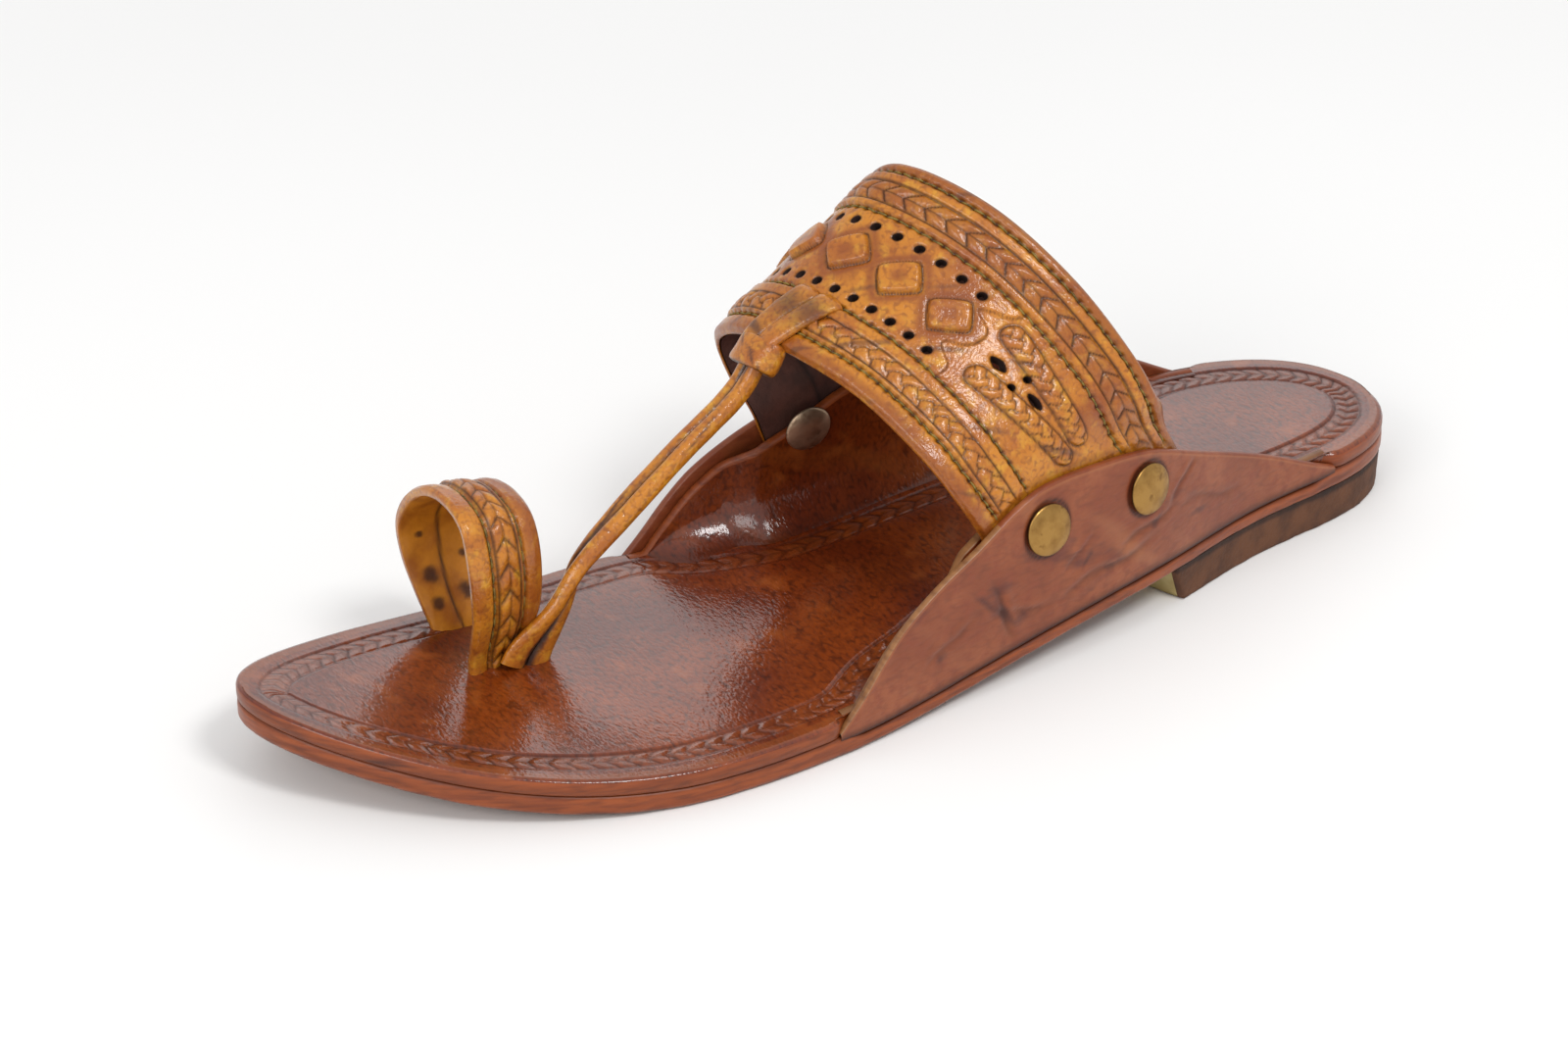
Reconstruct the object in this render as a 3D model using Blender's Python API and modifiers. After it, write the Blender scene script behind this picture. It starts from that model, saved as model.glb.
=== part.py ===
"""Kolhapuri chappal for the left foot: two leather soles, folded side flaps, band, toe strap and toe ring.

Metres, +Z up. The toe points along -Y, the little toe's side is +X, and the ground is at Z = 0.
"""
import math

import bmesh
import bpy
from mathutils import Matrix, Vector

MM = 0.001
CLEARANCE = 0.3 * MM

# Sole
SOLE_LENGTH = 280 * MM
BALL_WIDTH = 87 * MM
HEEL_WIDTH = 58 * MM
TOE_SPRING = 12.5 * MM
HEEL_HEIGHT = 9.2 * MM
OUTSOLE_THICKNESS = 4.5 * MM
TOP_SOLE_THICKNESS = 3.5 * MM
EDGE_ROUND = 0.7 * MM
HEEL_INSET = 0.6 * MM
BREAST_SLANT = 3.0 * MM
BREAST_BULGE = 8.0 * MM

# Side flaps and inner wings
FLAP_THICKNESS = 1.9 * MM
FLAP_HEIGHT_LATERAL = 32.0 * MM
FLAP_HEIGHT_MEDIAL = 36.0 * MM
FLANGE_WIDTH = 10.0 * MM
FLANGE_THICKNESS = 1.6 * MM
WALL_LEAN = 3.0 * MM
FOLD_ROUND = 0.8 * MM
WING_THICKNESS = 2.2 * MM
WING_DROP = 3.0 * MM
WING_FILLET = 7.0 * MM
WING_LEAST_RISE = 0.5 * MM
WING_LEAST_FILLET = 1.0 * MM
WING_GAP = 0.45 * MM
WING_END_GAP = 3.4 * MM
HELD_REACH = 8.0 * MM
HELD_MARGIN = 0.8 * MM

# Instep band
INSTEP_HEIGHT = 97 * MM
BAND_THICKNESS = 2.8 * MM
STRIP_RISE = 0.7 * MM
STRIP_MARGIN = 3.2 * MM
STRIP_FADE = 2.0 * MM
HELD_OVER = 3.5 * MM
HELD_FADE = 9.0 * MM
PLAIT_WIDTH = 5.2 * MM
PLAIT_RISE = 1.3 * MM
PLAIT_PITCH = 5.0 * MM
EMBED = 1.3 * MM
HOLE_DIAMETER = 2.4 * MM
FRONT_HOLE_PITCH = 5.2 * MM
BACK_HOLE_PITCH = 5.4 * MM
HOLE_PAST = 2.0 * MM
LOZENGE_DIAGONAL = 10.4 * MM
LOZENGE_RISE = 1.5 * MM
LOZENGE_PITCH = 13.5 * MM
MOTIF_WIDTH = 5.0 * MM

# Toe strap and toe ring
STRAP_WIDTH = 6.9 * MM
STRAP_THICKNESS = 4.2 * MM
KNOT_WIDTH = 12.5 * MM
KNOT_HEIGHT = 7.0 * MM
KNOT_DEPTH = 7.5 * MM
LOOP_WIDTH = 10.5 * MM
LOOP_RISE = 2.6 * MM
RING_WIDTH = 35 * MM
RING_HEIGHT = 39 * MM
RING_DEPTH = 17 * MM
RING_THICKNESS = 2.8 * MM
RING_GROOVE = 0.6 * MM
RING_EDGE_DROP = 0.8 * MM
RING_PLAIT_FOOT = 0.5 * MM

# Rivets
RIVET_CAP_DIAMETER = 11.5 * MM
RIVET_INNER_DIAMETER = 10.8 * MM
RIVET_CAP_HEIGHT = 1.5 * MM
RIVET_RIM = 0.5 * MM
RIVET_SHANK_DIAMETER = 4.0 * MM
RIVET_SEAT_GAP = 0.5 * MM
RIVET_HOLE_PAST = 4.0 * MM

# Resolution
SOLE_STEPS = 36
FLAP_STEPS = 18
BAND_STEPS = 38
FOOT_CROWDING = 0.3
RING_STEPS = 24
STRAP_STEPS = 16
STRAP_SIDES = 10
RIVET_SIDES = 16
RIVET_CAP_STEPS = 3
HOLE_SIDES = 6
HEEL_STEPS = 16
BREAST_STEPS = 8
LOZENGE_SIDES = 12

LATERAL = 1
MEDIAL = -1
FLAP_HEIGHT = {LATERAL: FLAP_HEIGHT_LATERAL, MEDIAL: FLAP_HEIGHT_MEDIAL}

# share of length from the heel, centre as share of ball width, half width as shares of heel and ball width
SOLE_TABLE = (
    (0.00, -0.020, 0.505, 0.000),
    (0.15, -0.037, 0.496, 0.000),
    (0.32, 0.040, 0.300, 0.195),
    (0.48, 0.056, 0.100, 0.378),
    (0.62, 0.063, 0.000, 0.492),
    (0.75, 0.059, 0.000, 0.518),
    (0.88, -0.003, 0.000, 0.522),
    (1.00, -0.101, 0.000, 0.462),
)
HEEL_CAP_SHARE, HEEL_CAP_POWER = 0.173, 2.3
TOE_CAP_SHARE, TOE_CAP_POWER = 0.379, 2.0
SPRING_START = 0.72
SHANK_START, SHANK_END = 0.285, 0.62
BREAST_SHARE = 0.275

# share along a flap from its front tip, height as share of the flap's height
FLAP_TABLE = (
    (0.00, 0.03),
    (0.04, 0.21),
    (0.08, 0.41),
    (0.12, 0.57),
    (0.18, 0.71),
    (0.26, 0.83),
    (0.33, 0.95),
    (0.39, 1.00),
    (0.50, 0.945),
    (0.59, 0.86),
    (0.72, 0.61),
    (0.86, 0.33),
    (0.95, 0.13),
    (1.00, 0.03),
)
# front tip and rear tip as shares of the sole's length from the heel
FLAP_TIPS = {LATERAL: (0.614, 0.092), MEDIAL: (0.632, 0.100)}

# the band's front and back edges: across as share of half the ball width, along as share of the sole's
# length from its middle, up as share of the instep height
BAND_TABLE = (
    ((0.91, 0.060, 0.206), (0.76, 0.264, 0.226)),
    ((0.91, 0.036, 0.350), (0.77, 0.236, 0.360)),
    ((0.84, 0.016, 0.459), (0.78, 0.205, 0.526)),
    ((0.67, -0.002, 0.557), (0.70, 0.186, 0.650)),
    ((0.32, -0.021, 0.640), (0.46, 0.154, 0.814)),
    ((-0.05, -0.043, 0.686), (0.09, 0.120, 0.940)),
    ((-0.41, -0.054, 0.680), (-0.32, 0.087, 0.992)),
    ((-0.69, -0.052, 0.629), (-0.62, 0.086, 0.930)),
    ((-0.84, -0.042, 0.557), (-0.79, 0.104, 0.800)),
    ((-0.81, -0.027, 0.433), (-0.83, 0.136, 0.620)),
    ((-0.73, -0.012, 0.320), (-0.77, 0.168, 0.400)),
    ((-0.70, 0.007, 0.206), (-0.72, 0.193, 0.226)),
)
# the raised strips along the band, as shares of its width from the front edge
FRONT_STRIP = (0.065, 0.250)
BACK_STRIP = (0.715, 0.940)
FRONT_PLAIT = 0.158
BACK_PLAIT = 0.840
# rows of punched holes: place along the band's width, how many on each side of the middle, and their pitch
HOLE_ROWS = ((0.337, 6, FRONT_HOLE_PITCH), (0.670, 5, BACK_HOLE_PITCH))
# lozenges: place along the band's width, how many on each side of the middle, power of their outline, and
# the share of their size that their flat tops keep
LOZENGE_ROW = 0.515
LOZENGE_COUNT = 2
LOZENGE_POWER = 1.35
LOZENGE_TOP = 0.86
BAND_MIDDLE = 0.53
WING_TOP_ACROSS = 0.13
# the two plaited arms on each side: start and end across the band and along its width
MOTIF_ARMS = ((0.320, 0.640, 0.177, 0.600), (0.298, 0.409, 0.162, 0.497))
MOTIF_START = 0.21
MEDIAL_SHORTENING = 0.38
# holes between the arms: across the band, along its width, and diameter
MOTIF_HOLES = (
    (0.300, 0.510, 2.8 * MM),
    (0.268, 0.560, 1.6 * MM),
    (0.268, 0.485, 1.6 * MM),
    (0.240, 0.525, 2.6 * MM),
)

# across as share of the ring's width from its little-toe side, up as share of its height over the sole,
# how far the front edge is set back as share of its depth, and the back edge's shift as share of its width
RING_TABLE = (
    (0.112, -0.085, 0.06, 0.130),
    (0.100, 0.080, 0.05, 0.130),
    (0.010, 0.360, 0.03, 0.050),
    (0.010, 0.670, 0.00, 0.010),
    (0.110, 0.920, 0.00, 0.000),
    (0.330, 1.000, 0.00, 0.000),
    (0.600, 0.965, 0.00, 0.000),
    (0.860, 0.810, 0.00, 0.000),
    (1.015, 0.590, 0.00, 0.000),
    (0.995, 0.370, 0.03, 0.000),
    (0.890, 0.160, 0.10, 0.000),
    (0.790, -0.010, 0.18, 0.000),
    (0.760, -0.085, 0.18, 0.000),
)
RING_SIDE_X = -1.7 * MM
RING_FRONT_SHARE = 0.8214
RING_TAPER = 0.96
RING_GROOVES = ((0.27, 0.33), (0.70, 0.76))
RING_PLAIT = 0.515
# length round the ring as share of its height, and the shares round it between which its plait lies
RING_GIRTH = 2.6
RING_PLAIT_ENDS = (0.12, 0.86)

# toe strap: across, along and up as shares of the ring's width, the sole's length and the instep height;
# width and thickness as shares of the strap's; and the turn of its wide axis in degrees
STRAP_TABLE = (
    (-0.160, -0.2755, 0.086, 1.75, 0.62, 88),
    (-0.160, -0.2680, 0.124, 1.65, 0.70, 86),
    (-0.165, -0.2450, 0.201, 1.12, 0.85, 72),
    (-0.185, -0.2225, 0.296, 0.95, 0.95, 38),
    (-0.230, -0.1780, 0.388, 0.98, 1.00, 10),
    (-0.270, -0.1250, 0.490, 1.00, 1.00, 0),
    (-0.310, -0.0780, 0.572, 1.00, 1.00, 0),
    (-0.330, -0.0540, 0.655, 1.00, 1.00, 0),
)
# how far the oval's waist is drawn in between the two cords, as share of its thickness, and the knot's tilt
STRAP_WAIST = 0.28
KNOT_TILT = -30
# loop: place along the band's width and rise there, as share of the loop's
LOOP_RUN = ((-0.06, 0.1), (-0.03, 0.8), (0.03, 1.0), (0.12, 1.0), (0.20, 0.95), (0.26, 0.7), (0.285, 0.1))
# loop: offset from its middle as share of its half width, and rise there
LOOP_SECTION = ((-1, 0.1), (-0.75, 0.85), (-0.35, 1), (0, 0.7), (0.35, 1), (0.75, 0.85), (1, 0.1))

RIVET_TABLE = (
    # name, side, share along the flap from its front tip, height over the flange as share of the flap's
    ("rivet_lateral_front", LATERAL, 0.384, 0.715),
    ("rivet_lateral_rear", LATERAL, 0.580, 0.615),
    ("rivet_medial_front", MEDIAL, 0.283, 0.745),
    ("rivet_medial_rear", MEDIAL, 0.470, 0.660),
)

COLOURS = {
    "sole_edge_leather": ((0.36, 0.115, 0.040), 0.55, 0.0),
    "varnished_sole_leather": ((0.105, 0.020, 0.006), 0.22, 0.0),
    "flap_leather": ((0.33, 0.105, 0.050), 0.45, 0.0),
    "heel_block": ((0.155, 0.075, 0.038), 0.75, 0.0),
    "honey_leather": ((0.48, 0.185, 0.025), 0.25, 0.0),
    "rivet_brass": ((0.36, 0.26, 0.09), 0.35, 1.0),
}


def smooth_curve(rows, key):
    """Reads a table at a key: a Catmull-Rom curve through the rows, whose first column rises."""
    last = len(rows) - 1
    key = min(max(key, rows[0][0]), rows[last][0])
    index = 0
    while index < last - 1 and key > rows[index + 1][0]:
        index += 1
    start, end = rows[index], rows[index + 1]
    before, after = rows[max(index - 1, 0)], rows[min(index + 2, last)]
    step = end[0] - start[0]
    share = (key - start[0]) / step
    values = []
    for column in range(1, len(start)):
        leave = (end[column] - before[column]) / (end[0] - before[0]) * step
        arrive = (after[column] - start[column]) / (after[0] - start[0]) * step
        values.append(hermite(start[column], end[column], leave, arrive, share))
    return values


def hermite(start, end, leave, arrive, share):
    """Cubic between two values with the given slopes."""
    square, cube = share * share, share * share * share
    return (
        (2 * cube - 3 * square + 1) * start
        + (cube - 2 * square + share) * leave
        + (3 * square - 2 * cube) * end
        + (cube - square) * arrive
    )


def soft_step(value):
    """Rises smoothly from 0 to 1."""
    value = min(max(value, 0.0), 1.0)
    return value * value * (3 - 2 * value)


def along_share(y):
    """Share of the sole's length from the heel at a place along Y."""
    return 0.5 - y / SOLE_LENGTH


def along_y(share):
    return (0.5 - share) * SOLE_LENGTH


def sole_edge(share, side):
    """X of the sole's edge on one side, at a share of its length from the heel."""
    centre, heel_part, ball_part = smooth_curve(SOLE_TABLE, share)
    half = heel_part * HEEL_WIDTH + ball_part * BALL_WIDTH
    if share < HEEL_CAP_SHARE:
        half *= cap_factor((HEEL_CAP_SHARE - share) / HEEL_CAP_SHARE, HEEL_CAP_POWER)
    if share > 1 - TOE_CAP_SHARE:
        half *= cap_factor((share - 1 + TOE_CAP_SHARE) / TOE_CAP_SHARE, TOE_CAP_POWER)
    return centre * BALL_WIDTH + side * half


def cap_factor(reach, power):
    """Closes the outline round the toe or heel as a superellipse."""
    return max(1 - reach**power, 0.0) ** (1 / power)


def seat_height(share):
    """Height of the outsole's underside: heel, shank, flat forefoot and toe spring."""
    rise = 1 - soft_step((share - SHANK_START) / (SHANK_END - SHANK_START))
    spring = max(share - SPRING_START, 0.0) / (1 - SPRING_START)
    return HEEL_HEIGHT * rise + TOE_SPRING * spring * spring


def outsole_top(share):
    return seat_height(share) + OUTSOLE_THICKNESS


def top_sole_top(share):
    return outsole_top(share) + CLEARANCE + TOP_SOLE_THICKNESS


def flap_share(side, y):
    """Share along a flap from its front tip, at a place along Y."""
    front, rear = FLAP_TIPS[side]
    return (front - along_share(y)) / (front - rear)


def flap_top(side, y):
    """Height of a flap's top edge over the ground."""
    height = smooth_curve(FLAP_TABLE, flap_share(side, y))[0]
    return outsole_top(along_share(y)) + height * FLAP_HEIGHT[side]


def wall_x(side, y, z, inset):
    """X of the upright wall over the sole's edge, a given depth inside the flap's outer face."""
    share = along_share(y)
    over = max(z - outsole_top(share), 0.0) / FLAP_HEIGHT[side]
    return sole_edge(share, side) - side * (WALL_LEAN * over * over + inset)


def new_object(name, mesh_data, collection, material=None):
    """Makes an object of a bmesh, with its faces pointing out."""
    bmesh.ops.recalc_face_normals(mesh_data, faces=mesh_data.faces)
    mesh = bpy.data.meshes.new(name)
    mesh_data.to_mesh(mesh)
    mesh_data.free()
    item = bpy.data.objects.new(name, mesh)
    collection.objects.link(item)
    if material:
        mesh.materials.append(material)
    return item


def loft(rings):
    """Closed body through rings of equally many points, with flat ends."""
    body = bmesh.new()
    loops = [[body.verts.new(point) for point in ring] for ring in rings]
    count = len(rings[0])
    for first, second in zip(loops, loops[1:]):
        for index in range(count):
            after = (index + 1) % count
            body.faces.new((first[index], first[after], second[after], second[index]))
    body.faces.new(list(reversed(loops[0])))
    body.faces.new(loops[-1])
    return body


def slab(outer, inner):
    """Closed body between two grids of points of the same size."""
    body = bmesh.new()
    tops = [[body.verts.new(point) for point in row] for row in outer]
    bases = [[body.verts.new(point) for point in row] for row in inner]
    rows, columns = len(outer), len(outer[0])
    for row in range(rows - 1):
        for column in range(columns - 1):
            for grid in (tops, bases):
                body.faces.new(
                    (
                        grid[row][column],
                        grid[row][column + 1],
                        grid[row + 1][column + 1],
                        grid[row + 1][column],
                    )
                )
    top_rim, base_rim = grid_rim(tops), grid_rim(bases)
    for index in range(len(top_rim)):
        after = (index + 1) % len(top_rim)
        body.faces.new((top_rim[index], top_rim[after], base_rim[after], base_rim[index]))
    return body


def grid_rim(grid):
    """The points round a grid's border, in order."""
    rim = list(grid[0][:-1])
    rim += [row[-1] for row in grid[:-1]]
    rim += list(reversed(grid[-1]))[:-1]
    rim += [row[0] for row in reversed(grid)][:-1]
    return rim


def cut(target, tool, operation="DIFFERENCE"):
    """Adds an exact Boolean to a target and marks the tool as a guide."""
    modifier = target.modifiers.new(tool.name, "BOOLEAN")
    modifier.operation = operation
    modifier.solver = "EXACT"
    modifier.object = tool
    tool.hide_render = True
    tool.display_type = "WIRE"


def make_material(name):
    colour, roughness, metallic = COLOURS[name]
    material = bpy.data.materials.new(name)
    material.use_nodes = True
    shader = material.node_tree.nodes["Principled BSDF"]
    shader.inputs["Base Color"].default_value = (*colour, 1)
    shader.inputs["Roughness"].default_value = roughness
    shader.inputs["Metallic"].default_value = metallic
    return material


# Soles and heel


def plate_rings(bottom, top, inset, first=0.0006, last=0.9994):
    """Rings across the sole between two heights, closer together near the toe and the heel."""
    rings = []
    for step in range(SOLE_STEPS + 1):
        share = first + (last - first) * 0.5 * (1 - math.cos(math.pi * step / SOLE_STEPS))
        y = along_y(share)
        low, high = bottom(share), top(share)
        outer = sole_edge(share, LATERAL) - inset
        inner = sole_edge(share, MEDIAL) + inset
        soft = min(EDGE_ROUND, 0.3 * (outer - inner))
        rings.append(
            (
                (outer - soft, y, low),
                (outer, y, low + soft),
                (outer, y, high - soft),
                (outer - soft, y, high),
                (inner + soft, y, high),
                (inner, y, high - soft),
                (inner, y, low + soft),
                (inner + soft, y, low),
            )
        )
    return rings


def make_outsole(parts, material):
    return new_object("outsole", loft(plate_rings(seat_height, outsole_top, 0.0)), parts, material)


def make_top_sole(parts, cutters, material):
    """The varnished sole with an inner wing folded up on each side."""
    rings = plate_rings(lambda share: outsole_top(share) + CLEARANCE, top_sole_top, 0.0)
    sole = new_object("top_sole", loft(rings), parts, material)
    for side in (LATERAL, MEDIAL):
        wing = new_object("inner_wing", loft(wing_rings(side)), cutters)
        cut(sole, wing, "UNION")
    return sole


def held_ends(side):
    """Y of the foremost and rearmost places where the band lies between flap and wing."""
    end = side_end(side)
    front = min(band_point(end, 0.0, 0.0).y, band_point(end + side * WING_TOP_ACROSS, 0.0, 0.0).y)
    return front - HELD_MARGIN, band_point(end, 1.0, 0.0).y + HELD_MARGIN


def wing_inset(side, y):
    """Depth of the wing's outer face: against the flap, and further in where the band is held."""
    front, back = held_ends(side)
    held = soft_step((y - front + HELD_REACH) / HELD_REACH) * soft_step((back + HELD_REACH - y) / HELD_REACH)
    return FLAP_THICKNESS + CLEARANCE + held * (BAND_THICKNESS + WING_GAP)


def wing_stations(side):
    """Places along Y of the wing's sections: even steps, and closer where it bends in round the band."""
    tip, rear = (along_y(share) for share in FLAP_TIPS[side])
    tip, rear = tip + WING_END_GAP, rear - WING_END_GAP
    front, back = held_ends(side)
    half = HELD_REACH / 2
    bends = [front - HELD_REACH, front - half, front, back, back + half, back + HELD_REACH]
    bends = [y for y in bends if tip < y < rear]
    even = [tip + (rear - tip) * step / FLAP_STEPS for step in range(FLAP_STEPS + 1)]
    near = 0.35 * (rear - tip) / FLAP_STEPS
    kept = [y for y in even if y in (tip, rear) or min(abs(y - bend) for bend in bends) > near]
    return sorted(kept + bends)


def side_end(side):
    """Where the band's foot on one side lies, as a share across the band."""
    return 0.0 if side == LATERAL else 1.0


def wing_rings(side):
    rings = []
    for y in wing_stations(side):
        floor = top_sole_top(along_share(y))
        low = floor - 0.6 * TOP_SOLE_THICKNESS
        inset = wing_inset(side, y)
        high = max(flap_top(side, y) - WING_DROP, floor + WING_LEAST_RISE)
        rise = high - floor
        fillet = min(WING_FILLET, 0.8 * rise + WING_LEAST_FILLET)
        inner = inset + WING_THICKNESS

        def at(z, depth, y=y):
            return (wall_x(side, y, z, depth), y, z)

        rings.append(
            (
                at(low, inset),
                at(floor + 0.33 * rise, inset),
                at(floor + 0.67 * rise, inset),
                at(high, inset),
                at(high, inner),
                at(floor + 0.67 * rise, inner),
                at(floor + 0.36 * rise, inner + 0.08 * fillet),
                at(floor + 0.12 * rise, inner + 0.36 * fillet),
                at(floor - 0.2 * MM, inner + fillet),
                at(low, inner + fillet),
            )
        )
    return rings


def flap_rings(side, grow=0.0):
    """A flap's sections: a flange between the soles, a fold at the edge and the upright wall."""
    front, rear = FLAP_TIPS[side]
    past = grow / SOLE_LENGTH
    rings = []
    for step in range(FLAP_STEPS + 1):
        share = front + past - (front - rear + 2 * past) * step / FLAP_STEPS
        y = along_y(share)
        reach = FLANGE_WIDTH * (0.35 + 0.65 * soft_step(6 * min(step, FLAP_STEPS - step) / FLAP_STEPS))
        low = outsole_top(share) - FLANGE_THICKNESS - grow
        fold = outsole_top(share) + grow
        high = flap_top(side, y) + grow
        edge = sole_edge(share, side)
        thick = FLAP_THICKNESS

        def at(z, depth, y=y):
            return (wall_x(side, y, z, depth), y, z)

        rise = high - fold
        rings.append(
            (
                (edge - side * (reach + grow), y, low),
                (edge - side * FOLD_ROUND, y, low),
                (edge + side * grow, y, low + FOLD_ROUND),
                at(fold + 0.33 * rise, -grow),
                at(fold + 0.67 * rise, -grow),
                at(high, -grow),
                at(high, thick + grow),
                at(fold + 0.67 * rise, thick + grow),
                at(fold + 0.33 * rise, thick + grow),
                at(fold, thick + grow),
                (edge - side * (reach + grow), y, fold),
            )
        )
    return rings


def make_heel(parts, material):
    """Low block under the heel seat, whose breast bulges forward and slants back to the ground."""
    upper = heel_outline(0.0)
    lower = heel_outline(BREAST_SLANT)
    body = bmesh.new()
    top_loop = [body.verts.new((x, y, HEEL_HEIGHT - CLEARANCE)) for x, y in upper]
    base_loop = [body.verts.new((x, y, 0.0)) for x, y in lower]
    body.faces.new(top_loop)
    body.faces.new(list(reversed(base_loop)))
    for index in range(len(top_loop)):
        after = (index + 1) % len(top_loop)
        body.faces.new((top_loop[index], base_loop[index], base_loop[after], top_loop[after]))
    return new_object("heel", body, parts, material)


def heel_outline(slant):
    """Round the heel from the lateral breast corner to the medial one, then along the bulged breast."""
    corner = BREAST_SHARE - slant / SOLE_LENGTH
    shares = [corner * math.cos(math.pi * step / (2 * HEEL_STEPS)) for step in range(HEEL_STEPS)]
    shares = [max(share, 0.004) for share in shares]
    lateral = [(sole_edge(share, LATERAL) - HEEL_INSET, along_y(share)) for share in shares]
    medial = [(sole_edge(share, MEDIAL) + HEEL_INSET, along_y(share)) for share in shares]
    outline = lateral + list(reversed(medial))
    start, end = outline[-1], outline[0]
    for step in range(1, BREAST_STEPS):
        share = step / BREAST_STEPS
        x = start[0] + (end[0] - start[0]) * share
        y = start[1] + (end[1] - start[1]) * share - BREAST_BULGE * math.sin(math.pi * share)
        outline.append((x, y))
    return outline


# Band, toe strap and their knot


def raw_band_point(turn, along):
    """Ruled surface between the band's edges, read at a place in the table."""
    fronts = [(index, *row[0]) for index, row in enumerate(BAND_TABLE)]
    backs = [(index, *row[1]) for index, row in enumerate(BAND_TABLE)]
    front, back = smooth_curve(fronts, turn), smooth_curve(backs, turn)
    x, y, z = (start + (end - start) * along for start, end in zip(front, back))
    x, y, z = x * BALL_WIDTH / 2, y * SOLE_LENGTH, z * INSTEP_HEIGHT
    side = LATERAL if turn < len(BAND_TABLE) / 2 else MEDIAL
    held = 1 - soft_step((z - flap_top(side, y) - HELD_OVER) / HELD_FADE)
    wall = wall_x(side, y, z, FLAP_THICKNESS + CLEARANCE)
    return Vector((x + (wall - x) * held, y, z))


def band_turns():
    """Table that turns an even share across the band into a place in its table of sections."""
    count = 240
    last = len(BAND_TABLE) - 1
    spots = [raw_band_point(last * index / count, 0.5) for index in range(count + 1)]
    lengths = [0.0]
    for first, second in zip(spots, spots[1:]):
        lengths.append(lengths[-1] + (second - first).length)
    return [(length / lengths[-1], last * index / count) for index, length in enumerate(lengths)], lengths[-1]


TURNS = []


def band_turn(across):
    """Place in the band's table at an even share across it."""
    rows = TURNS[0]
    across = min(max(across, 0.0), 1.0)
    low, high = 0, len(rows) - 1
    while high - low > 1:
        middle = (low + high) // 2
        if rows[middle][0] <= across:
            low = middle
        else:
            high = middle
    start, end = rows[low], rows[high]
    return start[1] + (end[1] - start[1]) * (across - start[0]) / (end[0] - start[0])


def band_point(across, along, height):
    """Point over the band's outer face: shares across and along it, and a height outwards."""
    turn = band_turn(across)
    spot = raw_band_point(turn, along)
    if not height:
        return spot
    reach = 0.02
    last = len(BAND_TABLE) - 1
    before, after = max(turn - reach, 0), min(turn + reach, last)
    sideways = raw_band_point(after, along) - raw_band_point(before, along)
    backwards = raw_band_point(turn, along + reach) - raw_band_point(turn, along - reach)
    normal = backwards.cross(sideways).normalized()
    return spot + normal * height


def free_share(across, along):
    """0 where the band is held behind a flap, 1 where it is free."""
    spot = band_point(across, along, 0.0)
    side = LATERAL if across < 0.5 else MEDIAL
    return soft_step((spot.z - flap_top(side, spot.y) - STRIP_MARGIN) / STRIP_FADE)


def strip_height(along):
    """Height of the raised strips at a place along the band's width."""
    for start, end in (FRONT_STRIP, BACK_STRIP):
        if start < along < end:
            return STRIP_RISE
    return 0.0


def make_band(parts, material):
    step = 0.008
    alongs = [0.0]
    for start, end in (FRONT_STRIP, BACK_STRIP):
        alongs += [start, start + step, end - step, end]
    alongs += [1.0]
    field = BACK_STRIP[0] - FRONT_STRIP[1]
    alongs += [FRONT_STRIP[1] + field / 3, FRONT_STRIP[1] + 2 * field / 3, FRONT_PLAIT, BACK_PLAIT]
    alongs.sort()
    acrosses = []
    for index in range(BAND_STEPS + 1):
        turn = index / BAND_STEPS
        acrosses.append(turn - FOOT_CROWDING * math.sin(2 * math.pi * turn) / (2 * math.pi))
    outer = []
    inner = []
    for across in acrosses:
        outer.append(
            [band_point(across, along, strip_height(along) * free_share(across, along)) for along in alongs]
        )
        inner.append([band_point(across, along, -BAND_THICKNESS) for along in alongs])
    return new_object("upper", slab(outer, inner), parts, material)


def free_ends(along):
    """Shares across the band between which it is free of the flaps, at a place along its width."""
    steps = 200
    low = 0
    while free_share(low / steps, along) < 0.9:
        low += 1
    high = steps
    while free_share(high / steps, along) < 0.9:
        high -= 1
    return low / steps, high / steps


def plait(place, length, width, foot, top):
    """Raised chevron plait: a grid whose columns lean to a point and rise and fall by turns."""
    columns = 2 * round(length / PLAIT_PITCH)
    rows = ((-1.0, 0.25, 0.0), (-0.55, 1.0, 0.5), (0.0, 0.62, 1.0), (0.55, 1.0, 0.5), (1.0, 0.25, 0.0))
    rings = []
    for column in range(columns + 1):
        crest = 1.0 if column % 2 else 0.45
        ring = []
        for offset, rise, lead in rows:
            along = (column + lead) / (columns + 1)
            ring.append(place(along, offset * width / 2, foot + (top - foot) * rise * crest))
        for offset in (1.0, -1.0):
            ring.append(place(column / (columns + 1), offset * width / 2, -EMBED))
        rings.append(ring)
    return loft(rings)


def band_width_at(across):
    return (band_point(across, 1.0, 0.0) - band_point(across, 0.0, 0.0)).length


def add_band_plaits(upper, cutters, band_length):
    for middle in (FRONT_PLAIT, BACK_PLAIT):
        low, high = free_ends(middle)

        def place(share, offset, height, middle=middle, low=low, high=high):
            across = low + (high - low) * share
            return band_point(across, middle + offset / band_width_at(across), height)

        length = (high - low) * band_length
        body = plait(place, length, PLAIT_WIDTH, STRIP_RISE * 0.7, PLAIT_RISE + STRIP_RISE)
        cut(upper, new_object("band_plait", body, cutters), "UNION")


def mirrored_place(across):
    """Place across the band on the big toe's side, where the motif past the lozenges is drawn closer."""
    reach = BAND_MIDDLE - across
    past = max(reach - MOTIF_START, 0.0)
    return BAND_MIDDLE + reach - past * (1 - MEDIAL_SHORTENING)


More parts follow.
